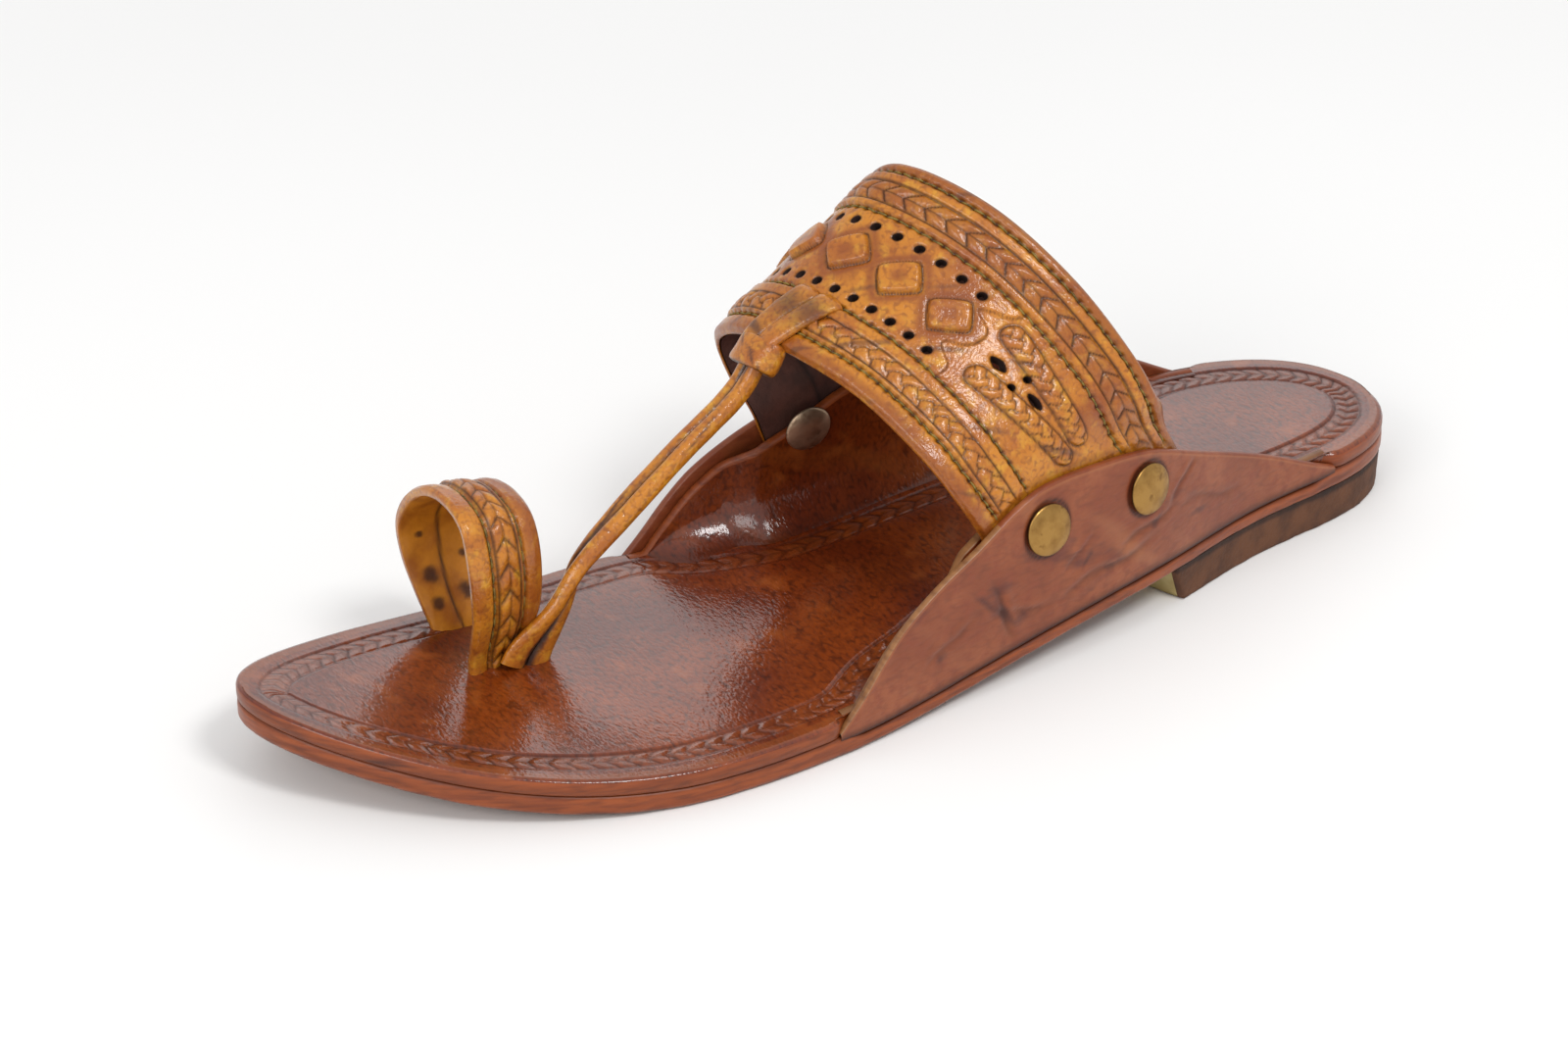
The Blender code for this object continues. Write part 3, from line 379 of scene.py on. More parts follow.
# round the outsole's side, from the underside to the top: push outwards in millimetres, share of its height
OUTSOLE_SECTION = (
    (-20.0, 0.00),
    (-3.0, 0.00),
    (-0.9, 0.00),
    (-0.3, 0.07),
    (-0.05, 0.20),
    (0.0, 0.35),
    (-0.04, 0.50),
    (0.0, 0.65),
    (-0.06, 0.82),
    (-0.35, 0.95),
    (-1.0, 1.00),
    (-4.0, 1.00),
)

# the photograph's camera: its right, up and backward axes, its place, sensor width and lens in millimetres
CAMERA_AXES = ((0.5242, 0.8516, 0.0), (-0.4207, 0.2590, 0.8694), (0.7404, -0.4558, 0.4941))
CAMERA_PLACE = (0.7397, -0.4716, 0.5215)
CAMERA_SENSOR, CAMERA_LENS = 36.0, 107.7
# panels of light: name, place, where they face, width, height in metres and power in watts
PANELS = (
    ("back_panel", (-1.15, 0.66, 0.80), (0.0, 0.0, 0.02), 0.85, 0.55, 1.35),
    ("key_panel", (0.80, 0.08, 1.12), (0.0, 0.0, 0.05), 0.34, 0.34, 7.0),
    ("front_panel", (0.55, -1.10, 0.80), (0.0, 0.0, 0.03), 0.80, 0.50, 6.0),
)
WORLD_STRENGTH = 0.79
FLOOR_REACH = 4.0
FLOOR_GAP = 0.2 * MM


# Curves and surfaces shared with the solids


def soft_step(value):
    """Rises smoothly from 0 to 1."""
    value = np.clip(value, 0.0, 1.0)
    return value * value * (3 - 2 * value)


def read_curve(rows, key):
    """Catmull-Rom curve through a table's rows at each key; one array for each later column."""
    table = np.array(rows, float)
    keys = table[:, 0]
    key = np.clip(np.asarray(key, float), keys[0], keys[-1])
    index = np.clip(np.searchsorted(keys, key, side="left") - 1, 0, len(keys) - 2)
    start, end = table[index], table[index + 1]
    before, after = table[np.maximum(index - 1, 0)], table[np.minimum(index + 2, len(keys) - 1)]
    step = (end[..., 0] - start[..., 0])[..., None]
    share = (key[..., None] - start[..., :1]) / step
    leave = (end - before) / (end[..., :1] - before[..., :1]) * step
    arrive = (after - start) / (after[..., :1] - start[..., :1]) * step
    square, cube = share**2, share**3
    value = (
        (2 * cube - 3 * square + 1) * start
        + (cube - 2 * square + share) * leave
        + (3 * square - 2 * cube) * end
        + (cube - square) * arrive
    )
    return [value[..., column] for column in range(1, table.shape[1])]


def read_steps(rows, key):
    """Soft steps between a table's rows, for strips and grooves with flat tops."""
    table = np.array(rows, float)
    index = np.clip(np.searchsorted(table[:, 0], key, side="right") - 1, 0, len(table) - 2)
    start, end = table[index], table[index + 1]
    share = soft_step((key - start[..., 0]) / (end[..., 0] - start[..., 0]))
    return start[..., 1] + (end[..., 1] - start[..., 1]) * share


def ridge(distance, width):
    """1 on a line, falling off softly on both sides of it."""
    return np.exp(-((distance / width) ** 2))


def round_angles(sides):
    """Even angles round a section."""
    return 2 * np.pi * np.arange(sides) / sides


def run_lengths(line):
    """Length along a line of points, up to each of them."""
    return np.concatenate(([0], np.cumsum(np.linalg.norm(np.diff(line, axis=0), axis=1))))


def cap_factor(reach, power):
    """Closes the outline round the toe or heel as a superellipse."""
    return np.maximum(1 - np.maximum(reach, 0.0) ** power, 0.0) ** (1 / power)


def own_edge(share, side):
    """X of the sole's edge in the sole's own axes, at a share of its length from the heel."""
    centre, heel_part, ball_part = read_curve(SOLE_TABLE, share)
    half = heel_part * HEEL_WIDTH + ball_part * BALL_WIDTH
    half = half * cap_factor((HEEL_CAP_SHARE - share) / HEEL_CAP_SHARE, HEEL_CAP_POWER)
    half = half * cap_factor((share - 1 + TOE_CAP_SHARE) / TOE_CAP_SHARE, TOE_CAP_POWER)
    return centre * BALL_WIDTH + side * half


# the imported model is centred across; this is how far the sole's own axes are moved for that
SHIFT_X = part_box("outsole")[1].x - own_edge(np.linspace(0, 1, 401), LATERAL).max()


def sole_edge(share, side):
    """X of the sole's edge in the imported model."""
    return own_edge(share, side) + SHIFT_X


def along_share(y):
    """Share of the sole's length from the heel at a place along Y."""
    return 0.5 - y / SOLE_LENGTH


def along_y(share):
    """Y of a place at a share of the sole's length from the heel."""
    return (0.5 - share) * SOLE_LENGTH


def seat_height(share):
    """Height of the outsole's underside: heel, shank, flat forefoot and toe spring."""
    rise = 1 - soft_step((share - SHANK_START) / (SHANK_END - SHANK_START))
    spring = np.maximum(share - SPRING_START, 0.0) / (1 - SPRING_START)
    return HEEL_HEIGHT * rise + TOE_SPRING * spring * spring


def outsole_top(share):
    """Height of the outsole's top."""
    return seat_height(share) + OUTSOLE_THICKNESS


def top_sole_top(share):
    """Height of the varnished plate's top."""
    return outsole_top(share) + CLEARANCE + TOP_SOLE_THICKNESS


def by_side(side, lateral, medial):
    """Picks a value for each side, also for arrays of sides."""
    return np.where(np.asarray(side) > 0, lateral, medial)


def flap_tips(side):
    """Front and rear tips of a flap, as shares of the sole's length from the heel."""
    return LATERAL_TIPS if side == LATERAL else MEDIAL_TIPS


def flap_share(side, y):
    """Share along a flap from its front tip, at a place along Y."""
    front = by_side(side, LATERAL_TIPS[0], MEDIAL_TIPS[0])
    rear = by_side(side, LATERAL_TIPS[1], MEDIAL_TIPS[1])
    return (front - along_share(y)) / (front - rear)


def flap_height(side):
    """Greatest height of a side's flap over its fold."""
    return by_side(side, FLAP_HEIGHT_LATERAL, FLAP_HEIGHT_MEDIAL)


def flap_top(side, y):
    """Height of a flap's top edge over the ground."""
    height = read_curve(FLAP_TABLE, flap_share(side, y))[0]
    return outsole_top(along_share(y)) + height * flap_height(side)


def wall_x(side, y, z, inset):
    """X of the upright wall over the sole's edge, a given depth inside the flap's outer face."""
    share = along_share(y)
    over = np.maximum(z - outsole_top(share), 0.0) / flap_height(side)
    return sole_edge(share, side) - side * (WALL_LEAN * over * over + inset)


def raw_band_point(turn, along):
    """Ruled surface between the band's edges, read at a place in the table."""
    turn, along = np.broadcast_arrays(np.asarray(turn, float), np.asarray(along, float))
    fronts = read_curve([(index, *row[0]) for index, row in enumerate(BAND_TABLE)], turn)
    backs = read_curve([(index, *row[1]) for index, row in enumerate(BAND_TABLE)], turn)
    x, y, z = (start + (end - start) * along for start, end in zip(fronts, backs))
    x, y, z = x * BALL_WIDTH / 2 + SHIFT_X, y * SOLE_LENGTH, z * INSTEP_HEIGHT
    side = np.where(turn < len(BAND_TABLE) / 2, LATERAL, MEDIAL)
    held = 1 - soft_step((z - flap_top(side, y) - HELD_OVER) / HELD_FADE)
    wall = wall_x(side, y, z, FLAP_THICKNESS + CLEARANCE)
    return np.stack((x + (wall - x) * held, y, z), -1)


def band_turn_table():
    """Even shares across the band and their places in its table of sections, and the band's length."""
    turns = np.linspace(0, len(BAND_TABLE) - 1, 241)
    spots = raw_band_point(turns, 0.5)
    lengths = run_lengths(spots)
    return lengths / lengths[-1], turns, lengths[-1]


TURN_SHARES, TURNS, BAND_LENGTH = band_turn_table()


def band_point(across, along, height=0.0):
    """Points over the band's outer face: shares across and along it, and a height outwards."""
    turn = np.interp(across, TURN_SHARES, TURNS)
    spot = raw_band_point(turn, along)
    reach = 0.02
    before, after = np.maximum(turn - reach, 0), np.minimum(turn + reach, len(BAND_TABLE) - 1)
    sideways = raw_band_point(after, along) - raw_band_point(before, along)
    ahead, behind = (raw_band_point(turn, np.asarray(along) + step) for step in (-reach, reach))
    backwards = behind - ahead
    normal = unit(np.cross(backwards, sideways))
    return spot + normal * np.broadcast_to(height, normal.shape[:-1])[..., None]


def band_width(across):
    """Width of the band from front edge to back edge."""
    return np.linalg.norm(band_point(across, 1.0) - band_point(across, 0.0), axis=-1)


def unit(vectors):
    """Vectors of length 1."""
    return vectors / np.maximum(np.linalg.norm(vectors, axis=-1, keepdims=True), 1e-12)


def mirrored_place(across):
    """Place across the band on the big toe's side, where the motif past the lozenges is drawn closer."""
    reach = BAND_MIDDLE - across
    past = np.maximum(reach - MOTIF_START, 0.0)
    return BAND_MIDDLE + reach - past * (1 - MEDIAL_SHORTENING)


def ring_point(turn, along, height=0.0):
    """Points over the ring's outer face: a share round it, a share of its depth and a height outwards."""
    keyed = [(index, *row) for index, row in enumerate(RING_TABLE)]
    last = len(RING_TABLE) - 1
    turn, along = np.broadcast_arrays(np.asarray(turn, float), np.asarray(along, float))
    scale = 1 - (1 - RING_TAPER) * along

    def spot(key):
        across, up, set_back, shift = read_curve(keyed, key)
        place = 0.5 + (across - 0.5) * scale + shift * along
        y = along_y(RING_FRONT_SHARE) + (along + set_back * (1 - along)) * RING_DEPTH
        x = RING_SIDE_X + SHIFT_X - place * RING_WIDTH
        rise = up * RING_HEIGHT * np.where(up > 0, scale, 1)
        return np.stack((x, y, top_sole_top(along_share(y)) + rise), -1)

    key = turn * last
    before, after = spot(np.maximum(key - 0.03, 0)), spot(np.minimum(key + 0.03, last))
    normal = unit(np.cross(np.array((0.0, 1.0, 0.0)), after - before))
    return spot(key) + normal * np.broadcast_to(height, normal.shape[:-1])[..., None]


def held_ends(side):
    """Y of the foremost and rearmost places where the band lies between flap and wing."""
    end = 0.0 if side == LATERAL else 1.0
    front = min(band_point(end, 0.0)[1], band_point(end + side * WING_TOP_ACROSS, 0.0)[1])
    return front - HELD_MARGIN, band_point(end, 1.0)[1] + HELD_MARGIN


def wing_inset(side, y):
    """Depth of the wing's outer face: against the flap, and further in where the band is held."""
    front, back = held_ends(side)
    held = soft_step((y - front + HELD_REACH) / HELD_REACH) * soft_step((back + HELD_REACH - y) / HELD_REACH)
    return FLAP_THICKNESS + CLEARANCE + held * (BAND_THICKNESS + WING_GAP)


# Materials


def colour(hex_code):
    """Linear colour of an sRGB hex value."""
    parts = [int(hex_code[index : index + 2], 16) / 255 for index in (1, 3, 5)]
    return (*(part / 12.92 if part <= 0.04045 else ((part + 0.055) / 1.055) ** 2.4 for part in parts), 1.0)


def add(tree, kind, inputs=None, **settings):
    """Adds a shader node with its settings; its inputs are plain values or other nodes' sockets."""
    made = tree.nodes.new(kind)
    for name, value in settings.items():
        setattr(made, name, value)
    for name, value in (inputs or {}).items():
        if isinstance(value, bpy.types.NodeSocket):
            tree.links.new(value, made.inputs[name])
        else:
            made.inputs[name].default_value = value
    return made


def new_material(name):
    """An empty node material, its tree, its shader and its place in the object's own metres."""
    material = bpy.data.materials.new(name)
    material.use_nodes = True
    tree = material.node_tree
    shader = tree.nodes["Principled BSDF"]
    place = add(tree, "ShaderNodeTexCoord").outputs["Object"]
    return material, tree, shader, place


def blotches(tree, place, size, low, high, detail=3.0, stretch=(1, 1, 1)):
    """A cloudy mask of spots about one size across, from 0 below one noise level to 1 above another."""
    spread = add(tree, "ShaderNodeMapping", {"Vector": place, "Scale": stretch}).outputs["Vector"]
    noise = add(tree, "ShaderNodeTexNoise", {"Vector": spread, "Scale": 1 / size, "Detail": detail})
    return add(
        tree, "ShaderNodeMapRange", {"Value": noise.outputs["Fac"], "From Min": low, "From Max": high}
    ).outputs["Result"]


def tint(tree, mask, under, over):
    """One colour over another, by a mask."""
    return add(tree, "ShaderNodeMix", {0: mask, 6: under, 7: over}, data_type="RGBA").outputs[2]


def painted(tree, name):
    """A mask painted on the mesh."""
    return add(tree, "ShaderNodeAttribute", attribute_name=name).outputs["Fac"]


def grain(tree, shader, place, size, depth, fine_size, fine_depth, stretch=(1, 1, 1)):
    """Leather grain: rounded cells with a finer roughness over them; returns the mask of its furrows."""
    spread = add(tree, "ShaderNodeMapping", {"Vector": place, "Scale": stretch}).outputs["Vector"]
    wobble = add(tree, "ShaderNodeTexNoise", {"Vector": spread, "Scale": 0.4 / size, "Detail": 2.0})
    bent = add(
        tree,
        "ShaderNodeMix",
        {0: 0.0016, 4: spread, 5: wobble.outputs["Color"]},
        data_type="VECTOR",
    ).outputs[1]
    cells = add(
        tree, "ShaderNodeTexVoronoi", {"Vector": bent, "Scale": 1 / size}, feature="SMOOTH_F1"
    ).outputs["Distance"]
    pores = add(tree, "ShaderNodeTexNoise", {"Vector": spread, "Scale": 1 / fine_size, "Detail": 2.0})
    first = add(
        tree,
        "ShaderNodeBump",
        {"Strength": 1.0, "Distance": -depth, "Height": cells},
    ).outputs["Normal"]
    second = add(
        tree,
        "ShaderNodeBump",
        {"Strength": 1.0, "Distance": fine_depth, "Height": pores.outputs["Fac"], "Normal": first},
    ).outputs["Normal"]
    tree.links.new(second, shader.inputs["Normal"])
    tree.links.new(second, shader.inputs["Coat Normal"])
    return add(
        tree, "ShaderNodeMapRange", {"Value": cells, "From Min": 0.42, "From Max": 0.72, "To Max": 1.0}
    ).outputs["Result"]


def share_of(tree, mask, amount):
    """A mask weakened to an amount."""
    return add(tree, "ShaderNodeMath", {0: mask, 1: amount}, operation="MULTIPLY", use_clamp=True).outputs[0]


def varnish_coat(tree, shader, weight, roughness):
    """A clear coat of varnish that has worn out of the creases."""
    worn = add(
        tree, "ShaderNodeMapRange", {"Value": painted(tree, "crease_dirt_and_shade"), "To Min": weight, "To Max": 0.0}
    ).outputs["Result"]
    tree.links.new(worn, shader.inputs["Coat Weight"])
    shader.inputs["Coat Roughness"].default_value = roughness


def honey_leather():
    """Vegetable-tanned leather, oiled and varnished: honey-coloured, mottled, with a broken gloss."""
    material, tree, shader, place = new_material("honey_varnished_leather")
    furrows = grain(tree, shader, place, 0.80 * MM, 0.085 * MM, 0.36 * MM, 0.050 * MM)
    base = tint(tree, blotches(tree, place, 9 * MM, 0.40, 0.64), colour("#BE7618"), colour("#A55C16"))
    base = tint(tree, blotches(tree, place, 3.2 * MM, 0.52, 0.74), base, colour("#C98C24"))
    base = tint(tree, share_of(tree, furrows, 0.55), base, colour("#6E3510"))
    base = tint(tree, blotches(tree, place, 16 * MM, 0.56, 0.74), base, colour("#8A4414"))
    base = tint(tree, painted(tree, "tone"), base, colour("#84400F"))
    base = tint(tree, painted(tree, "stain"), base, colour("#331716"))
    # dirt and painted shade: near-black where the crease mask lies, in grooves, seams, dimples and where
    # parts meet
    base = tint(tree, painted(tree, "crease_dirt_and_shade"), base, colour("#1C0B04"))
    tree.links.new(base, shader.inputs["Base Color"])
    rough = add(
        tree,
        "ShaderNodeMapRange",
        {"Value": blotches(tree, place, 2.0 * MM, 0.35, 0.7), "To Min": 0.36, "To Max": 0.54},
    ).outputs["Result"]
    tree.links.new(rough, shader.inputs["Roughness"])
    shader.inputs["Specular IOR Level"].default_value = 0.25
    varnish_coat(tree, shader, 0.7, 0.12)
    return material


def varnished_sole_leather():
    """Thick sole leather, stamped, dyed red-brown and varnished: mirrors the studio through a fine grain."""
    material, tree, shader, place = new_material("deep_red_varnished_leather")
    furrows = grain(tree, shader, place, 0.95 * MM, 0.055 * MM, 0.45 * MM, 0.022 * MM, (0.72, 1.45, 1))
    base = tint(tree, blotches(tree, place, 24 * MM, 0.38, 0.66), colour("#672507"), colour("#873B0D"))
    veins = blotches(tree, place, 1.7 * MM, 0.42, 0.66, 5.0, (0.6, 1.7, 1))
    base = tint(tree, share_of(tree, veins, 0.40), base, colour("#441404"))
    base = tint(tree, share_of(tree, furrows, 0.60), base, colour("#300E03"))
    base = tint(tree, blotches(tree, place, 9 * MM, 0.60, 0.78, 3.0), base, colour("#94491A"))
    base = tint(tree, painted(tree, "tone"), base, colour("#8E4A1C"))
    # dirt and painted shade, near-black, in grooves and where parts meet
    base = tint(tree, painted(tree, "crease_dirt_and_shade"), base, colour("#200A04"))
    tree.links.new(base, shader.inputs["Base Color"])
    shader.inputs["Roughness"].default_value = 0.40
    shader.inputs["Specular IOR Level"].default_value = 0.2
    varnish_coat(tree, shader, 0.95, 0.10)
    return material


def cut_edge_leather(name, light, dark):
    """The cut and burnished edge of thick leather: layers drawn out as long streaks, waxed to a low gloss."""
    material, tree, shader, place = new_material(name)
    furrows = grain(tree, shader, place, 1.1 * MM, 0.050 * MM, 0.35 * MM, 0.030 * MM, (0.3, 0.3, 1.6))
    layers = blotches(tree, place, 2.4 * MM, 0.38, 0.68, 4.0, (0.16, 0.16, 2.4))
    base = tint(tree, share_of(tree, layers, 0.7), colour(light), colour(dark))
    base = tint(tree, share_of(tree, furrows, 0.4), base, colour("#4A1E10"))
    streaks = blotches(tree, place, 8 * MM, 0.60, 0.72, 4.0, (0.5, 0.5, 2.6))
    base = tint(tree, share_of(tree, streaks, 0.7), base, colour("#3A1810"))
    # dirt and painted shade, near-black, in grooves and where parts meet
    base = tint(tree, painted(tree, "crease_dirt_and_shade"), base, colour("#2A1008"))
    tree.links.new(base, shader.inputs["Base Color"])
    shader.inputs["Roughness"].default_value = 0.46
    shader.inputs["Specular IOR Level"].default_value = 0.3
    varnish_coat(tree, shader, 0.3, 0.28)
    return material


def flap_leather():
    """Thinner leather, waxed by hand: satin reddish brown, with fine wrinkles and dark stains."""
    material, tree, shader, place = new_material("waxed_red_brown_leather")
    furrows = grain(tree, shader, place, 1.3 * MM, 0.065 * MM, 0.40 * MM, 0.035 * MM, (1, 0.6, 1.5))
    base = tint(tree, blotches(tree, place, 14 * MM, 0.38, 0.64), colour("#7C3B1C"), colour("#8F4C2A"))
    base = tint(tree, blotches(tree, place, 3.0 * MM, 0.46, 0.70, 4.0), base, colour("#7E3A1E"))
    base = tint(tree, share_of(tree, furrows, 0.30), base, colour("#5A2612"))
    spots = blotches(tree, place, 10 * MM, 0.63, 0.74, 5.0, (1, 0.6, 1.4))
    base = tint(tree, share_of(tree, spots, 0.6), base, colour("#4A201A"))
    base = tint(tree, share_of(tree, painted(tree, "stain"), 0.75), base, colour("#3C1814"))
    base = tint(tree, painted(tree, "tone"), base, colour("#B4784E"))
    # dirt and painted shade, near-black, in creases and where parts meet
    base = tint(tree, painted(tree, "crease_dirt_and_shade"), base, colour("#2A1009"))
    tree.links.new(base, shader.inputs["Base Color"])
    shader.inputs["Roughness"].default_value = 0.44
    shader.inputs["Specular IOR Level"].default_value = 0.3
    varnish_coat(tree, shader, 0.3, 0.26)
    return material


def plain_leather(name, base_hex, patch_hex, roughness, depth):
    """Unvarnished leather: flesh side, stacked heel or raw core, dull and a little fibrous."""
    material, tree, shader, place = new_material(name)
    base = tint(tree, blotches(tree, place, 6 * MM, 0.40, 0.66, 4.0), colour(base_hex), colour(patch_hex))
    base = tint(tree, painted(tree, "stain"), base, colour("#2B1412"))
    # dirt and painted shade, near-black, in grooves, holes and where parts meet
    base = tint(tree, painted(tree, "crease_dirt_and_shade"), base, colour("#170B08"))
    tree.links.new(base, shader.inputs["Base Color"])
    shader.inputs["Roughness"].default_value = roughness
    grain(tree, shader, place, 0.9 * MM, depth, 0.30 * MM, 0.5 * depth)
    return material


def aged_brass(name, bright, dull):
    """Stamped brass caps, handled until dull: a satin metal with brown tarnish."""
    material, tree, shader, place = new_material(name)
    base = tint(tree, blotches(tree, place, 4.0 * MM, 0.42, 0.66, 4.0), colour(bright), colour(dull))
    spots = blotches(tree, place, 3.0 * MM, 0.62, 0.74, 3.0)
    base = tint(tree, share_of(tree, spots, 0.6), base, colour("#5A3418"))
    # painted shade, dark, where the caps meet the leather
    base = tint(tree, painted(tree, "crease_dirt_and_shade"), base, colour("#2A1A10"))
    tree.links.new(base, shader.inputs["Base Color"])
    shader.inputs["Metallic"].default_value = 0.9
    rough = add(
        tree,
        "ShaderNodeMapRange",
        {"Value": blotches(tree, place, 1.4 * MM, 0.35, 0.7), "To Min": 0.30, "To Max": 0.46},
    ).outputs["Result"]
    tree.links.new(rough, shader.inputs["Roughness"])
    dents = add(tree, "ShaderNodeTexNoise", {"Vector": place, "Scale": 1 / (2.4 * MM), "Detail": 2.0})
    bump = add(
        tree, "ShaderNodeBump", {"Strength": 1.0, "Distance": 0.10 * MM, "Height": dents.outputs["Fac"]}
    ).outputs["Normal"]
    tree.links.new(bump, shader.inputs["Normal"])
    return material


def waxed_thread():
    """Olive waxed cotton thread; its twist is drawn coarser than life, at 0.3 mm, so that it shows."""
    material, tree, shader, place = new_material("waxed_olive_thread")
    base = tint(tree, blotches(tree, place, 1.2 * MM, 0.40, 0.64), colour("#86702F"), colour("#5A481C"))
    tree.links.new(base, shader.inputs["Base Color"])
    shader.inputs["Roughness"].default_value = 0.7
    twist = add(tree, "ShaderNodeTexNoise", {"Vector": place, "Scale": 1 / (0.3 * MM)})
    bump = add(
        tree, "ShaderNodeBump", {"Strength": 0.8, "Distance": 0.05 * MM, "Height": twist.outputs["Fac"]}
    ).outputs["Normal"]
    tree.links.new(bump, shader.inputs["Normal"])
    return material


MATERIALS = {
    "honey": honey_leather(),
    "varnish": varnished_sole_leather(),
    "edge": cut_edge_leather("burnished_cut_edge", "#904519", "#6C2E12"),
    "raw_edge": cut_edge_leather("pale_cut_edge", "#94643A", "#6E4426"),
    "flap": flap_leather(),
    "lining": plain_leather("flesh_side_lining", "#5A3226", "#43251C", 0.78, 0.10 * MM),
    "gold_lining": plain_leather("golden_ring_lining", "#C27C1C", "#A05C14", 0.42, 0.05 * MM),
    "heel": plain_leather("rough_heel_stack", "#6A4024", "#4C2C18", 0.8, 0.16 * MM),
    "breast": plain_leather("pale_heel_core", "#C2B27C", "#A8935C", 0.7, 0.08 * MM),
    "ground_side": plain_leather("worn_ground_side", "#7E4B2C", "#6A3C22", 0.75, 0.10 * MM),
    "brass": aged_brass("aged_brass_cap", "#A88146", "#8A6433"),
    "inner_brass": aged_brass("dull_inner_cap", "#C2A88C", "#9C846C"),
    "thread": waxed_thread(),
}


# Meshes


def grid_quads(rows, columns, first=0, close_rows=False, close_columns=False):
    """Quads of a grid of points numbered row by row."""
    row = np.arange(rows if close_rows else rows - 1)
    column = np.arange(columns if close_columns else columns - 1)
    row, column = (part.ravel() for part in np.meshgrid(row, column, indexing="ij"))
    next_row, next_column = (row + 1) % rows, (column + 1) % columns
    quads = np.stack(
        (
            row * columns + column,
            row * columns + next_column,
            next_row * columns + next_column,
            next_row * columns + column,
        ),
        1,
    )
    return quads + first


def make_piece(name, points, quads, materials, replaces=(), marks=None, kinds=None, caps=()):
    """A smooth piece of the shoe from points and faces, with painted masks, riding on the shoe's body."""
    points = np.asarray(points, float).reshape(-1, 3)
    faces = [tuple(face) for face in np.asarray(quads).tolist()] + [tuple(cap) for cap in caps]
    mesh = bpy.data.meshes.new(name)
    mesh.from_pydata(points.tolist(), [], faces)
    mesh.update()
    for key in materials:
        mesh.materials.append(MATERIALS[key])
    if kinds is not None:
        kinds = list(kinds) + [0] * (len(faces) - len(kinds))
        mesh.polygons.foreach_set("material_index", np.asarray(kinds, np.int32))
    # crease holds dirt together with painted shade, in grooves and where parts meet; tone and stain are the
    # leather's own colour
    for key in ("crease_dirt_and_shade", "tone", "stain"):
        values = (marks or {}).get(key)
        if values is None:
            values = np.zeros(len(points))
        layer = mesh.attributes.new(key, "FLOAT", "POINT")
        layer.data.foreach_set("value", np.clip(np.asarray(values, np.float32).ravel(), 0, 1))
    mesh.shade_smooth()
    item = bpy.data.objects.new(name, mesh)
    bpy.context.scene.collection.objects.link(item)
    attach(item, "root")
    if replaces:
        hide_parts(*replaces)
    return item


def wander(*keys):
    """Slow uneven swing between -1 and 1, the same on every run."""
    total = np.zeros(np.broadcast(*keys).shape)
    for index, (speed, phase) in enumerate(SWINGS):
        swing = phase
        for turn, key in enumerate(keys):
            swing = swing + key * speed * (1.0 + 0.37 * ((index + turn) % 3))
        total = total + np.sin(swing) / (1 + index)
    return total / SWING_TOTAL


def plait_relief(run, offset, half, pitch, chevron):
    """Strands of a flat plait: height from 0 to 1, and the creases between them from 0 to 1, painted dark for
    dirt and shade.
    """
    lean = 0.95 if chevron else 0.75
    reach = np.abs(offset)
    if chevron:
        phase = ((run + lean * reach) / pitch) % 1.0
        middle = 0.7 * ridge(offset, 0.22 * MM)
        gap_width = 0.36 * MM
    else:
        zigzag = 0.42 * half * (2 * np.abs(2 * ((run / pitch) % 1.0) - 1) - 1)
        left = offset < zigzag
        phase = np.where(left, (run - lean * offset) / pitch + 0.5, (run + lean * offset) / pitch) % 1.0
        middle = 0.9 * ridge(offset - zigzag, 0.24 * MM)
        gap_width = 0.28 * MM
    gap = np.minimum(phase, 1 - phase) * pitch
    strand = np.sin(np.pi * phase) ** 0.55 * (0.72 + 0.28 * phase)
    across = np.sqrt(np.clip(1 - (reach / half) ** 3, 0, 1))
    crease_dirt_and_shade = np.maximum(ridge(gap, gap_width), middle)
    inside = soft_step((half - reach) / (0.35 * MM))
    return strand * across * inside * (1 - 0.45 * middle), crease_dirt_and_shade * inside


def capsule(x, y, start, end):
    """Place along a line between two points, offset from it, and distance to it with round ends."""
    step_x, step_y = end[0] - start[0], end[1] - start[1]
    length = math.hypot(step_x, step_y)
    run = ((x - start[0]) * step_x + (y - start[1]) * step_y) / length
    offset = ((y - start[1]) * step_x - (x - start[0]) * step_y) / length
    past = run - np.clip(run, 0, length)
    return run, offset, np.hypot(past, offset), length


# Band


def band_sway(run):
    """How far the hand-cut strips wander off their line, as a share of the band's width."""
    return 0.0022 * np.sin(run / (13 * MM)) + 0.0012 * np.sin(run / (4.1 * MM))


def punched_holes():
    """Every hole of the band: across and along it, half sizes in metres and power of the outline."""
    holes = []
    for along, count, pitch in HOLE_ROWS:
        for index in range(-count, count + 1):
            across = BAND_MIDDLE + index * pitch / BAND_LENGTH
            holes.append((across, along, HOLE_DIAMETER / 2, HOLE_DIAMETER / 2, 2.0))
    for across, along, half_long, half_wide, power in MOTIF_HOLES:
        holes.append((across, along, half_long * MM, half_wide * MM, power))
    across, along, half_long, half_wide, power = MOTIF_HOLES[0]
    holes.append((mirrored_place(across), along, half_long * MM, half_wide * MM, power))
    return holes


def hole_reach(across, along, hole, grow=0.0):
    """Distance from a hole's middle as a share of its outline's."""
    middle_across, middle_along, half_long, half_wide, power = hole
    x = np.abs(across - middle_across) * BAND_LENGTH / (half_long + grow)
    y = np.abs(along - middle_along) * band_width(middle_across) / (half_wide + grow)
    return (x**power + y**power) ** (1 / power)


